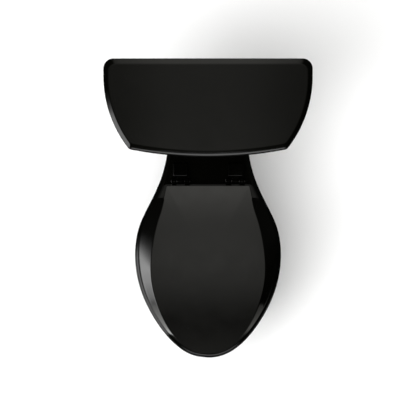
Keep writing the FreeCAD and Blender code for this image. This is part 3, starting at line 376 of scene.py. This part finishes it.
SOFT_EDGE, SOFT_ANGLE = 0.4, 40   # the rounding of the fittings' edges, and the least turn that gets it
WELD_GAP = 0.01
SOFTENED = ("hinge_plastic", "cap_plastic", "lever_chrome", "nut_plastic", "bolt_nylon", "valve_plastic",
            "fill_plastic", "bolt_brass")


def finish_cad_nodes():
    """Every node kept from the CAD frame gets its slot's material, and the fittings get softened edges."""
    for node in frame["record"]["subparts"]:
        piece = frame["nodes"][node["node"]]
        slot = node["material_slot"]
        piece.data.materials.clear()
        piece.data.materials.append(MATERIALS[slot])
        if slot in SOFTENED:
            weld = piece.modifiers.new("weld", "WELD")
            weld.merge_threshold = WELD_GAP * MM
            bevel = piece.modifiers.new("bevel", "BEVEL")
            bevel.width, bevel.segments = SOFT_EDGE * MM, 2
            bevel.limit_method, bevel.angle_limit = "ANGLE", math.radians(SOFT_ANGLE)
            bevel.harden_normals = True


# ---------------------------------------------------------------- the cistern and its lid
LID_SIDE_R, LID_FRONT_R = 278.0, 975.0
LID_SIDE_STRAIGHT = 42.0          # the straight run behind the bowed side
LID_BACK_CORNER_R, LID_FRONT_CORNER_R, LEAST_BACK_CORNER_R = 24.0, 13.0, 10.0
CORNER_CHANGE = 0.4               # of a corner's radius, for each millimetre that the side is drawn in
LID_MIDDLE_Y, LID_HALF_DEPTH = (LID_LOW.y + LID_HIGH.y) / 2, (LID_HIGH.y - LID_LOW.y) / 2
LID_DISH_R, LID_BOW_R = 7000.0, 15000.0
LID_BOW_DEPTH = 25.0              # the bow fades out this far below the top
LID_OVERHANG, LID_WALL = 17.0, 14.0
LID_ROUND = [(0.3, 4.5), (0.7, 2.2), (1.8, 0.7), (3.6, 0.0)]         # rise and inset of its lower edge
LIP_GAP, LIP_WIDTH, LIP_BACK, LIP_FILLET = 3.0, 8.0, 22.0, 3.0       # the lip that centres the lid
LIP_ROUND = [(2.0, 0.0), (0.5, 0.7), (0.0, 2.4)]
BAND_TILT, BAND_START, BAND_RUN, BAND_DROP = 26.0, 3.6, 9.0, 5.2     # the bevelled band round the top
BAND_SIDE_START, BAND_SIDE_SHARE = 1.2, 0.66                         # its width along the sides
BAND_ROUND = [(-9.0, 0.0), (-4.0, 0.15), (-1.6, 0.9), (-0.3, 2.1)]   # the edge below the band
BAND_END = [(-0.07, 0.5), (0.0, 1.0)]                                # the softened line where it ends
TOP_SHARES = (0.985, 0.9, 0.75, 0.55, 0.3, 0.1)

TANK_WALL, TANK_FLOOR = 11.0, 12.0
TANK_SIDE_TAPER, TANK_FRONT_TAPER, TANK_BACK_INSET = 27.0, 24.0, 8.0
TANK_BASE_R, TANK_EDGE_R, TANK_INNER_R = 16.0, 2.5, 10.0
BOSS_R, BOSS_FACE_Y = 17.0, 155.5
BOSS_ROUND = [(0.0, -2.0), (0.4, -0.8), (1.2, -0.2), (2.4, 0.0), (10.0, 0.0), (14.0, 0.8), (17.0, 3.0)]


def crossing(c1, r1, c2, r2):
    """Where two circles cross, the crossing with the lower y."""
    d = math.dist(c1, c2)
    a = (r1 * r1 - r2 * r2 + d * d) / (2 * d)
    h = math.sqrt(r1 * r1 - a * a)
    ux, uy = (c2[0] - c1[0]) / d, (c2[1] - c1[1]) / d
    return min([(c1[0] + a * ux + s * h * uy, c1[1] + a * uy - s * h * ux) for s in (1, -1)],
               key=lambda p: p[1])


def bearing(centre, point):
    """The angle in degrees at which a centre sees a point."""
    return math.degrees(math.atan2(point[1] - centre[1], point[0] - centre[0]))


def cistern_outline(z, side, front, back):
    """The cistern in plan, drawn in from the lid's outline: straight back, bowed sides and a bowed front."""
    half, back_y = LID_HIGH.x - side, LID_HIGH.y - back
    front_y = LID_LOW.y + front
    side_r, front_r = LID_SIDE_R - side, LID_FRONT_R - front
    back_r = max(LID_BACK_CORNER_R - CORNER_CHANGE * side, LEAST_BACK_CORNER_R)
    corner_r = LID_FRONT_CORNER_R + CORNER_CHANGE * side
    side_c = (half - side_r, LID_HIGH.y - LID_SIDE_STRAIGHT)
    front_c = (0.0, front_y + front_r)
    corner_c = crossing(side_c, side_r - corner_r, front_c, front_r - corner_r)
    front_turn, side_turn = bearing(front_c, corner_c), bearing(side_c, corner_c)
    points = arc(front_c, front_r, -90, front_turn, 36)
    points += arc(corner_c, corner_r, front_turn, side_turn, 10)[1:]
    points += arc(side_c, side_r, side_turn, 0, 26)[1:]
    points += arc((half - back_r, back_y - back_r), back_r, 0, 90, 12)
    points += [(x, back_y) for x in np.linspace(half - back_r, 0, 24)[1:]]
    return [(x, y, z) for x, y in mirrored_loop(points)]


def even_outline(z, inset):
    """The lid's outline drawn in by the same amount all round."""
    return cistern_outline(z, inset, inset, inset)


def band_outline(z, inset):
    """The same for the band round the lid's top, which is narrower along the sides."""
    return cistern_outline(z, BAND_SIDE_START + BAND_SIDE_SHARE * inset, inset, inset)


def lid_bow(x, y, z):
    """How far a point of the lid sinks: the top bows down to both ends and is dished a hair along y."""
    dish = (LID_HALF_DEPTH ** 2 - (y - LID_MIDDLE_Y) ** 2) / (2 * LID_DISH_R)
    share = min(1.0, max(0.0, 1 + (z - LID_HIGH.z) / LID_BOW_DEPTH))
    return (dish + x ** 2 / (2 * LID_BOW_R)) * share


def lip_loop(z, inset):
    """The outline of the lip under the lid, which stands just inside the cistern's wall."""
    side = LID_OVERHANG + TANK_WALL + LIP_GAP + inset
    return cistern_outline(z, side, side, LIP_BACK + inset)


def make_lid():
    """The lid: from its hollow underside round the lip, up its edge, over the bevelled band to the top."""
    low, lip_low, top = LID_BOTTOM, LID_LOW.z, LID_HIGH.z
    ceiling, band_low = top - LID_WALL, top - BAND_DROP
    inner_lip = LIP_WIDTH + LIP_FILLET
    loops = [shrunk(lip_loop(ceiling, inner_lip + 3), share, ceiling) for share in (0.2, 0.6)]
    loops += [lip_loop(ceiling, inner_lip), lip_loop(ceiling - LIP_FILLET, LIP_WIDTH)]
    loops += [lip_loop(lip_low + rise, LIP_WIDTH - inset) for rise, inset in LIP_ROUND]
    loops += [lip_loop(lip_low + rise, inset) for rise, inset in reversed(LIP_ROUND)]
    loops.append(lip_loop(low + LID_ROUND[0][0], 0))
    loops += [even_outline(low + rise, inset) for rise, inset in LID_ROUND]
    loops += [even_outline(band_low + rise, inset) for rise, inset in BAND_ROUND]
    slope = math.tan(math.radians(BAND_TILT))
    for run in np.linspace(0, BAND_RUN, 4):
        loops.append(band_outline(band_low + 0.6 + slope * run, BAND_START + run))
    loops += [band_outline(top + rise, BAND_START + BAND_RUN + inset) for rise, inset in BAND_END]
    rim = loops[-1]
    loops += [shrunk(rim, share, top) for share in TOP_SHARES]
    loops = [[(x, y, z - lid_bow(x, y, z)) for x, y, z in loop] for loop in loops]
    return new_piece("cistern_lid", *stacked_loops(loops), "lid", "black_china", "tank_lid")


def tank_loop(z, inset):
    """The tapering cistern's outline at a height, drawn in all round."""
    drop = (LID_BOTTOM - z) / (LID_BOTTOM - TANK_LOW.z)
    side = LID_OVERHANG + TANK_SIDE_TAPER * drop + inset
    front = LID_OVERHANG + TANK_FRONT_TAPER * drop + inset
    return cistern_outline(z, side, front, TANK_BACK_INSET + inset)


def lever_boss():
    """The round boss that gives the trip lever a flat seat on the bowed front, flared into the wall."""
    low, high = box_mm("trip_lever_bushing")
    middle = (low.x + high.x) / 2, (low.z + high.z) / 2
    profile = [(0.0, 0.3 * BOSS_R), (0.0, 0.7 * BOSS_R)]
    profile += [(back, BOSS_R + wider) for back, wider in BOSS_ROUND]
    loops = []
    for back, radius in profile:
        circle = arc(middle, radius, 0, 360, 49)[:-1]
        loops.append([(x, BOSS_FACE_Y + back, z) for x, z in circle])
    return stacked_loops(loops)


def make_tank():
    """Tapering cistern: rounded base, walls, a softened top edge, and the inside down to its floor."""
    low, top, floor = TANK_LOW.z, TANK_HIGH.z, TANK_LOW.z + TANK_FLOOR
    loops = [shrunk(tank_loop(low, TANK_BASE_R), share, low) for share in (0.3, 0.7)]
    for a in np.radians(range(0, 91, 10)):
        loops.append(tank_loop(low + TANK_BASE_R * (1 - math.cos(a)), TANK_BASE_R * (1 - math.sin(a))))
    loops += [tank_loop(z, 0) for z in np.linspace(low + TANK_BASE_R + 30, top - 4, 8)]
    quarter = np.radians(range(0, 91, 18))
    for a in quarter:
        loops.append(tank_loop(top - TANK_EDGE_R * (1 - math.sin(a)), TANK_EDGE_R * (1 - math.cos(a))))
    for a in quarter:
        inset = TANK_WALL - TANK_EDGE_R * (1 - math.sin(a))
        loops.append(tank_loop(top - TANK_EDGE_R * (1 - math.cos(a)), inset))
    loops += [tank_loop(z, TANK_WALL) for z in np.linspace(top - 8, floor + TANK_INNER_R + 6, 6)]
    for a in np.radians(range(90, -1, -15)):
        inset = TANK_WALL + TANK_INNER_R * (1 - math.sin(a))
        loops.append(tank_loop(floor + TANK_INNER_R * (1 - math.cos(a)), inset))
    loops += [shrunk(tank_loop(floor, TANK_WALL + TANK_INNER_R), share, floor) for share in (0.7, 0.3)]
    shape = joined(stacked_loops(loops), lever_boss())
    return new_piece("cistern", *shape, "bowl_and_tank", "black_china", "tank")


# ---------------------------------------------------------------- the seat
# Outlines: shares of the half width, and of the way from nose to widest place or from there to the end
NOSE_SHAPE = [(0.222, 0.027), (0.407, 0.105), (0.700, 0.342), (0.920, 0.660)]
TAIL_SHAPE = [(0.945, 0.45), (0.740, 0.78), (0.420, 0.955)]
FLANK_SHAPE = [(0.945, 0.53), (0.855, 0.80)]
SHOULDER_SHAPE = [(0.79, -8), (0.735, -1), (0.66, 1)]     # share of the half width, and y from the shoulder
RIM_WIDEST_Y, SHOULDER_Y, SEAT_MIDDLE_Y = -110.0, 36.0, -130.0
SEAT_POINTS, TAB_STEP = 97, 5.0   # points in half a seat curve, and their spacing round the hinge tab

HINGE_Y, HINGE_Z, KNUCKLE_R = 79.0, RIM_TOP + 15.0, 7.5
RING_KNUCKLE_X, COVER_KNUCKLE_X = (79.5, 92.0), (46.0, 58.5)
KNUCKLE_ROUND = [(0.0, 0.9), (0.27, 0.97), (0.9, 1.0)]    # distance from its end, and share of its size
COVER_ARM = [(66.0, 7.5), (60.0, 7.5), (60.0, 0.6), (66.0, -1.6)]     # y, and rise from the cover's edge
RING_ARM = [(70.0, 15.0), (52.0, 15.0), (52.0, 5.0), (70.0, 5.0)]     # y, and rise from the ring's underside

# The cover: half outlines of its panel and of the hinge tab at the panel and at the edge, then its section
PANEL = [(0, -354), (37.5, -348.5), (66, -331), (111, -271), (139.8, -188), (142.7, -112), (131, -42),
         (121, -8), (115.5, 10), (112.5, 24), (110.4, 36)]
PANEL_TAB = [(110.2, 37.4), (109.9, 38.6), (104.2, 64.8), (103.5, 66.4), (102.0, 67.0)]
COVER_TAB = [(112.4, 37.6), (111.2, 38.6), (105.4, 65.2), (104.6, 67.2), (102.6, 68.0)]
COVER_WALL, COVER_ROOF = 5.0, 4.0
COVER_INSIDE = [(0.5, 7.2), (0.04, 2.2), (0.0, 1.2)]      # share of the way to the panel, and rise
COVER_SKIRT = [(4.4, 0.2), (3.6, 0.0), (1.4, 0.0), (0.5, 0.35), (0.0, 1.3), (0.0, 2.6)]   # inset and rise
COVER_FLANK = [(0.015, 3.6), (0.05, 4.4), (0.1, 5.05)]    # share of the way to the panel, and rise
FLANK_SHARES, FLANK_TOP_SHARE = (0.3, 0.5, 0.7, 0.85, 0.93), 0.98
FLANK_END = [(0.972, -0.16), (1.0, 0.0)]                  # share of the way, and rise from the full height
PANEL_SHARES = (0.99, 0.95, 0.88, 0.78, 0.66, 0.52, 0.36, 0.18, 0.06)
COVER_CROWN_Y, COVER_CROWN_R = -235.0, 9000.0     # highest place of the panel, and its radius along y
COVER_CROWN_RISE, COVER_PILLOW = 2.2, 0.5         # its height over the CAD cover, and what the middle adds

# The ring: its underside's height, the opening, the hinge tab and its section
RING_LOW = RIM_TOP + 4.0
RING_OPENING = (-292.0, -130.0, 106.0, -8.0)      # nose, widest y, half width, back
RING_MIDDLE = np.array((0.0, -150.0))
RING_TAB = [(112.0, 37.8), (106.0, 38.6), (104.2, 40.5), (104.0, 61.0), (103.3, 63.2), (101.0, 64.0)]
RING_OUTSIDE = [(4.0, 0.0), (1.8, 0.5), (0.6, 1.8), (0.1, 4.0), (0.0, 7.5), (0.3, 10.5), (1.4, 13.2),
                (3.4, 15.2), (6.5, 16.3), (10.0, 16.8)]                # inset and rise
RING_CROWN = [(0.25, 17.1), (0.5, 17.2), (0.75, 17.1)]                # share of the way inwards, and rise
RING_INSIDE = [(17.0, 16.9), (13.0, 16.2), (9.5, 14.6), (6.0, 12.2), (3.0, 9.8), (1.0, 7.6), (0.1, 5.0),
               (0.3, 2.0), (1.0, 0.6), (3.0, 0.0)]                     # distance from the opening, and rise


def seat_half():
    """Right-hand half outline of ring and cover: nose, widest place, rounded shoulder."""
    nose, half = COVER_LOW.y, COVER_HIGH.x
    points = [(0.0, nose)]
    points += [(half * u, nose + (RIM_WIDEST_Y - nose) * v) for u, v in NOSE_SHAPE]
    points += [(half, RIM_WIDEST_Y)]
    points += [(half * u, RIM_WIDEST_Y + (SHOULDER_Y - RIM_WIDEST_Y) * v) for u, v in FLANK_SHAPE]
    return points + [(half * u, SHOULDER_Y + ahead) for u, ahead in SHOULDER_SHAPE]


def seat_curve(half):
    """The right-hand half of a smooth curve through a half outline and its mirror image. All such curves
    share the edge outline's spacing, so the points with one number lie opposite each other."""
    edge = seat_half()
    whole_edge = [(-x, y) for x, y in edge[:0:-1]] + edge
    whole = [(-x, y) for x, y in half[:0:-1]] + list(half)
    knots = chord_knots(whole_edge)
    knots /= knots[-1]
    return [tuple(p) for p in cubic_curve(knots, whole, np.linspace(0.5, 1.0, SEAT_POINTS))]


def matched_tab(edge, panel, edge_tab, panel_tab):
    """Two outlines with equally many points, which both run on round the hinge tab to the centre line."""
    edge, panel = list(edge), list(panel)
    edge_ends = list(edge_tab) + [(0.0, edge_tab[-1][1])]
    panel_ends = list(panel_tab) + [(0.0, panel_tab[-1][1])]
    for edge_end, panel_end in zip(edge_ends, panel_ends):
        edge_start, panel_start = edge[-1], panel[-1]
        steps = max(1, round(math.dist(edge_start, edge_end) / TAB_STEP))
        for i in range(1, steps + 1):
            edge.append(tuple(np.add(edge_start, np.subtract(edge_end, edge_start) * i / steps)))
            panel.append(tuple(np.add(panel_start, np.subtract(panel_end, panel_start) * i / steps)))
    return edge, panel


def drawn_in(points, inset):
    """Points drawn towards the middle of the seat."""
    middle = np.array((0.0, SEAT_MIDDLE_Y))
    away = np.array(points) - middle
    length = np.linalg.norm(away, axis=1)[:, None]
    return middle + away * (length - inset) / length


def between(a, b, share, z):
    """The outline a share of the way from one outline to the other, as a closed loop at a height."""
    a, b = np.array(a), np.array(b)
    return [(x, y, z) for x, y in mirrored_loop([tuple(p) for p in a + (b - a) * share])]


def knuckle(x_range, outline):
    """A hinge knuckle: an outline in (y, z) drawn along x, its rims softened."""
    middle = np.mean(outline, axis=0)
    ends = [(x_range[0] + inwards, share) for inwards, share in KNUCKLE_ROUND]
    ends += [(x_range[1] - inwards, share) for inwards, share in reversed(KNUCKLE_ROUND)]
    loops = []
    for x, share in ends:
        loops.append([(x, *(middle + (np.array(p) - middle) * share)) for p in outline])
    return stacked_loops(loops)


def both_sides(shape):
    """A shape and its mirror image across the middle of the seat."""
    verts, faces = shape
    return [shape, ([(-x, y, z) for x, y, z in verts], faces)]


def panel_height(y):
    """The height of the cover's crowned panel, before its middle swells."""
    return COVER_HIGH.z + COVER_CROWN_RISE - (y - COVER_CROWN_Y) ** 2 / (2 * COVER_CROWN_R)


def make_cover():
    """A moulded shell: crowned panel, flanks that widen at the sides, a thin skirt, open underneath."""
    edge_z, height = COVER_EDGE, COVER_HIGH.z - COVER_EDGE
    ceiling = COVER_HIGH.z - COVER_ROOF
    edge, panel = matched_tab(seat_curve(seat_half()), seat_curve(PANEL), COVER_TAB, PANEL_TAB)
    inner_edge, inner_panel = drawn_in(edge, COVER_WALL), drawn_in(panel, COVER_WALL)
    loops = [shrunk(between(inner_panel, inner_panel, 0, ceiling), share, ceiling) for share in (0.3, 0.7)]
    loops.append(between(inner_edge, inner_panel, 0.97, ceiling - 0.1))
    loops += [between(inner_edge, inner_panel, share, edge_z + rise) for share, rise in COVER_INSIDE]
    loops += [between(drawn_in(edge, inset), panel, 0, edge_z + rise) for inset, rise in COVER_SKIRT]
    loops += [between(edge, panel, share, edge_z + rise) for share, rise in COVER_FLANK]
    flank_share, flank_rise = COVER_FLANK[-1]

    def bent(share, rise):
        """A loop whose height follows the crowned panel, as far as it has come up to it."""
        lift = (rise - flank_rise) / (height - flank_rise)
        return [(x, y, edge_z + rise + lift * (panel_height(y) - COVER_HIGH.z))
                for x, y, _ in between(edge, panel, share, 0)]

    slope = (height - flank_rise) / (FLANK_TOP_SHARE - flank_share)
    loops += [bent(share, flank_rise + slope * (share - flank_share)) for share in FLANK_SHARES]
    loops += [bent(share, height + rise) for share, rise in FLANK_END]
    rim = loops[-1]
    for share in PANEL_SHARES:
        swell = COVER_PILLOW * (1 - share ** 2)
        loops.append([(x, y, panel_height(y) + swell) for x, y, _ in shrunk(rim, share, 0)])
    arm = arc((HINGE_Y, HINGE_Z), KNUCKLE_R, -140, 100, 22)
    arm += [(y, edge_z + rise) for y, rise in COVER_ARM]
    shape = joined(stacked_loops(loops), *both_sides(knuckle(COVER_KNUCKLE_X, arm)))
    return new_piece("seat_lid", *shape, "cover", "seat_plastic", "seat_cover", sharp_angle=32)


def egg_half(nose, widest, half, back):
    """Right-hand half of an egg-shaped outline, from its nose to its back."""
    points = [(0.0, nose)]
    points += [(half * u, nose + (widest - nose) * v) for u, v in NOSE_SHAPE]
    points += [(half, widest)]
    points += [(half * u, widest + (back - widest) * v) for u, v in TAIL_SHAPE]
    return points + [(0.0, back)]


def opening_radius(angles):
    """The opening's distance from the ring's middle at angles measured from straight ahead."""
    half = egg_half(*RING_OPENING)
    # Three mirrored points before and after the half keep the curve smooth across the centre line.
    whole = [(-x, y) for x, y in half[3:0:-1]] + half + [(-x, y) for x, y in half[-2:-5:-1]]
    knots = chord_knots(whole)
    curve = cubic_curve(knots, whole, np.linspace(knots[3], knots[-4], 400))
    away = curve - RING_MIDDLE
    at = np.arctan2(away[:, 0], -away[:, 1])
    order = np.argsort(at)
    return np.interp(angles, at[order], np.linalg.norm(away, axis=1)[order])


def make_ring():
    """The sitting ring: rounded outer edge, crowned top, and an inner edge that dishes into the opening."""
    half = seat_curve(seat_half())
    away = np.array(matched_tab(half, half, RING_TAB, RING_TAB)[0]) - RING_MIDDLE
    reach = np.linalg.norm(away, axis=1)
    ray = away / reach[:, None]
    inside = opening_radius(np.arctan2(away[:, 0], -away[:, 1]))

    def at_radius(radius, rise):
        """A loop whose points lie at their own distances from the ring's middle."""
        points = [tuple(p) for p in RING_MIDDLE + ray * radius[:, None]]
        return [(x, y, RING_LOW + rise) for x, y in mirrored_loop(points)]

    loops = [at_radius(reach - inset, rise) for inset, rise in RING_OUTSIDE]
    start, end = reach - RING_OUTSIDE[-1][0], inside + RING_INSIDE[0][0]
    loops += [at_radius(start + (end - start) * share, rise) for share, rise in RING_CROWN]
    loops += [at_radius(inside + offset, rise) for offset, rise in RING_INSIDE]
    start, end = inside + RING_INSIDE[-1][0], reach - RING_OUTSIDE[0][0]
    loops += [at_radius(start + (end - start) * share, 0) for share in (0.3, 0.7)]
    arm = arc((HINGE_Y, HINGE_Z), KNUCKLE_R, -115, 115, 22)
    arm += [(y, RING_LOW + rise) for y, rise in RING_ARM]
    shape = joined(stacked_loops(loops, ring=True), *both_sides(knuckle(RING_KNUCKLE_X, arm)))
    return new_piece("seat_ring_shell", *shape, "ring", "seat_plastic", "seat_ring")


# ---------------------------------------------------------------- the bowl
BOWL_VOXEL, SMOOTH_PASSES = 2.6, 12
BOWL_SWELL = 1.2          # what the smoothing takes off the edges is put back on as glaze


def make_bowl():
    """The four bands of the casting as one skin, its edges softened as a thick glaze leaves them."""
    work = bmesh.new()
    for node in BOWL_NODES:
        work.from_mesh(frame["nodes"][node].data)
    mesh = bpy.data.meshes.new("bowl")
    work.to_mesh(mesh)
    work.free()
    piece = bpy.data.objects.new("bowl", mesh)
    bpy.context.scene.collection.objects.link(piece)
    remesh = piece.modifiers.new("remesh", "REMESH")
    remesh.mode, remesh.voxel_size = "VOXEL", BOWL_VOXEL * MM
    smooth = piece.modifiers.new("smooth", "SMOOTH")
    smooth.factor, smooth.iterations = 0.5, SMOOTH_PASSES
    swell = piece.modifiers.new("swell", "DISPLACE")
    swell.strength, swell.mid_level = BOWL_SWELL * MM, 0.0
    shape = piece.evaluated_get(bpy.context.evaluated_depsgraph_get())
    skin = bpy.data.meshes.new_from_object(shape)
    piece.modifiers.clear()
    piece.data = skin
    for vertex in skin.vertices:
        vertex.co.z = max(vertex.co.z, 0.0)       # the foot stands flat on the floor
    skin.shade_smooth()
    return settle(piece, "bowl_and_tank", "black_china", *BOWL_NODES)


# ---------------------------------------------------------------- camera, floor and light, in metres
PIXEL = 2.53 * MM         # one pixel of a 416 pixel frame, at the height of the rim
LENS, SENSOR, FRAME_PIXELS = 200.0, 36.0, 416
CAMERA_Y = 0.0113
LIGHT_TARGET = Vector((0, -0.05, 0.45))
LIGHT_WATTS = 4.0         # for each square metre of an area light, to give it a radiance of one

# The window's place, its radiance by height, and how much of it is left towards its back edge
WINDOW_X, WINDOW_BACK_Y, WINDOW_WIDTH = -1.55, 0.2, 1.83
WINDOW_LOW, WINDOW_HIGH = -1.6, 2.45
WINDOW_GLOW = [(-1.6, 2.0), (-1.1, 1.6), (-0.8, 0.9), (-0.5, 0.78), (0.3, 0.87), (0.5, 0.97), (0.66, 2.2),
               (0.88, 3.1), (1.07, 4.4), (1.2, 4.6), (1.35, 5.5), (1.5, 5.0), (2.45, 5.0)]
WINDOW_FADE = [(-1.63, 1.0), (-0.18, 1.0), (-0.05, 0.37), (0.06, 0.075), (0.2, 0.0)]

# The dome's strength by the y and x of the direction, above the horizon and below it
DOME_COLOUR = (1, 0.99, 0.93, 1)
UPPER_ALONG = [(-1, 0.2), (-0.1, 0.33), (-0.085, 0.25), (-0.067, 0.03), (-0.052, 0.13), (-0.03, 0.5),
               (0.0, 0.8), (0.02, 0.75), (0.045, 0.62), (0.055, 0.65), (0.075, 1.4), (0.5, 1.2),
               (0.7, 1.8), (1.0, 1.8)]
UPPER_ACROSS = [(-1, 0.02), (-0.25, 0.03), (-0.066, 0.5), (-0.03, 0.95), (0.03, 0.95), (0.066, 0.5),
                (0.25, 0.03), (1, 0.02)]
LOWER_ALONG = [(-1, 1.0), (-0.5, 1.0), (-0.25, 0.03), (1, 0.03)]
LOWER_ACROSS = [(-1, 1.1), (-0.68, 1.1), (-0.5, 0.05), (-0.25, 0.02), (0.25, 0.02), (0.5, 0.05),
                (0.68, 0.65), (1, 0.65)]

FLOOR_HALF = 6.0
# The card that paints shade into the gloss over the deck behind the seat: its x and y ranges and its height
FLAG_X, FLAG_Y, FLAG_HEIGHT = (-0.125, 0.125), (0.0715, 0.165), 0.5


def set_camera():
    """A long lens looking straight down, from where a pixel has its size at the height of the rim."""
    data = bpy.data.cameras.new("camera")
    data.lens, data.sensor_width = LENS, SENSOR
    data.clip_end = 50
    camera = bpy.data.objects.new("camera", data)
    distance = PIXEL * FRAME_PIXELS * LENS / SENSOR
    camera.location = (0, CAMERA_Y, RIM_TOP * MM + distance)
    bpy.context.scene.collection.objects.link(camera)
    bpy.context.scene.camera = camera


def area_light(name, width, height, radiance):
    """A rectangular light and its data."""
    data = bpy.data.lights.new(name, "AREA")
    data.shape, data.size, data.size_y = "RECTANGLE", width, height
    data.energy = LIGHT_WATTS * width * height * radiance
    light = bpy.data.objects.new(name, data)
    bpy.context.scene.collection.objects.link(light)
    return light, data


def direction(azimuth, tilt):
    """A unit vector at an azimuth from +X towards +Y and a tilt from straight up, in degrees."""
    a, t = math.radians(azimuth), math.radians(tilt)
    return Vector((math.sin(t) * math.cos(a), math.sin(t) * math.sin(a), math.cos(t)))


def softbox(name, azimuth, tilt, width, height, radiance, distance=3.2, in_gloss=True, in_diffuse=True):
    """A rectangular light facing the object; width and height are in degrees as the object sees them."""
    size = [2 * distance * math.tan(math.radians(angle / 2)) for angle in (width, height)]
    light, _ = area_light(name, *size, radiance)
    way = direction(azimuth, tilt)
    light.location = LIGHT_TARGET + way * distance
    light.rotation_euler = (-way).to_track_quat("-Z", "Y").to_euler()
    light.visible_glossy, light.visible_diffuse = in_gloss, in_diffuse


def left_window():
    """A tall window on the left, brightest near its top and seen only in the gloss."""
    light, data = area_light("left_window", WINDOW_WIDTH, WINDOW_HIGH - WINDOW_LOW, 1.0)
    light.location = (WINDOW_X, WINDOW_BACK_Y - WINDOW_WIDTH / 2, (WINDOW_LOW + WINDOW_HIGH) / 2)
    light.rotation_euler = Vector((1, 0, 0)).to_track_quat("-Z", "Y").to_euler()
    light.visible_diffuse = False
    data.use_nodes = True
    nodes = Nodes(data.node_tree)
    place = nodes.add("NewGeometry")
    parts = nodes.add("SeparateXYZ")
    nodes.link(place.outputs["Position"], parts.inputs[0])
    glow = nodes.ramp(parts.outputs["Z"], WINDOW_LOW, WINDOW_HIGH, WINDOW_GLOW)
    fade = nodes.ramp(parts.outputs["Y"], WINDOW_BACK_Y - WINDOW_WIDTH, WINDOW_BACK_Y, WINDOW_FADE)
    strength = nodes.math("MULTIPLY", glow, fade)
    nodes.link(strength, data.node_tree.nodes["Emission"].inputs["Strength"])


def set_world():
    """A dim dome, for the gloss. Above the horizon a soft strip runs from front to back over the zenith: it
    is brightest at the back, with a dark gap just ahead of the zenith. Below the horizon, where the gloss
    would show the floor, light comes only from front left and front right."""
    world = bpy.data.worlds.new("studio")
    bpy.context.scene.world = world
    world.use_nodes = True
    nodes = Nodes(world.node_tree)
    background = world.node_tree.nodes["Background"]
    background.inputs["Color"].default_value = DOME_COLOUR
    place = nodes.add("TexCoord")
    parts = nodes.add("SeparateXYZ")
    nodes.link(place.outputs["Generated"], parts.inputs[0])
    x, y, z = (parts.outputs[axis] for axis in "XYZ")
    upper = nodes.math("MULTIPLY", nodes.ramp(y, -1, 1, UPPER_ALONG), nodes.ramp(x, -1, 1, UPPER_ACROSS))
    lower = nodes.math("MULTIPLY", nodes.ramp(y, -1, 1, LOWER_ALONG), nodes.ramp(x, -1, 1, LOWER_ACROSS))
    strength = nodes.add("Mix", data_type="FLOAT")
    nodes.link(nodes.math("GREATER_THAN", z, 0.0), strength.inputs["Factor"])
    nodes.link(lower, strength.inputs["A"])
    nodes.link(upper, strength.inputs["B"])
    nodes.link(strength.outputs["Result"], background.inputs["Strength"])


def flat_sheet(name, x_range, y_range, height, grey, roughness, specular):
    """A level rectangle of one grey."""
    (left, right), (front, back) = x_range, y_range
    mesh = bpy.data.meshes.new(name)
    corners = [(left, front), (right, front), (right, back), (left, back)]
    mesh.from_pydata([(x, y, height) for x, y in corners], [], [(0, 1, 2, 3)])
    material, shader, _ = new_material(name, (grey, grey, grey), roughness)
    shader.inputs["Specular IOR Level"].default_value = specular
    mesh.materials.append(material)
    sheet = bpy.data.objects.new(name, mesh)
    bpy.context.scene.collection.objects.link(sheet)
    return sheet


def make_floor():
    """A pale floor, left out of the gloss."""
    span = (-FLOOR_HALF, FLOOR_HALF)
    floor = flat_sheet("floor", span, span, 0.0, grey=0.92, roughness=0.8, specular=0.1)
    floor.visible_glossy = False


def black_flag():
    """A small dark card over the deck behind the seat, painting shade into the deck's reflection. Only the
    gloss sees it, which it keeps black.
    """
    flag = flat_sheet("black_flag", FLAG_X, FLAG_Y, FLAG_HEIGHT, grey=0.002, roughness=1.0, specular=0.0)
    flag.visible_camera = flag.visible_diffuse = flag.visible_shadow = flag.visible_transmission = False


finish_cad_nodes()
make_lid()
make_tank()
make_cover()
make_ring()
make_bowl()
make_floor()
black_flag()
set_camera()
set_world()
left_window()
softbox("front_window", azimuth=272, tilt=52, width=50, height=18, radiance=3.9, in_diffuse=False)
softbox("key", azimuth=206, tilt=18, width=24, height=44, radiance=7.7, distance=4.0, in_gloss=False)
softbox("fill", azimuth=90, tilt=0, width=90, height=90, radiance=1.0, distance=4.0, in_gloss=False)
bpy.context.scene.view_settings.view_transform = "Standard"
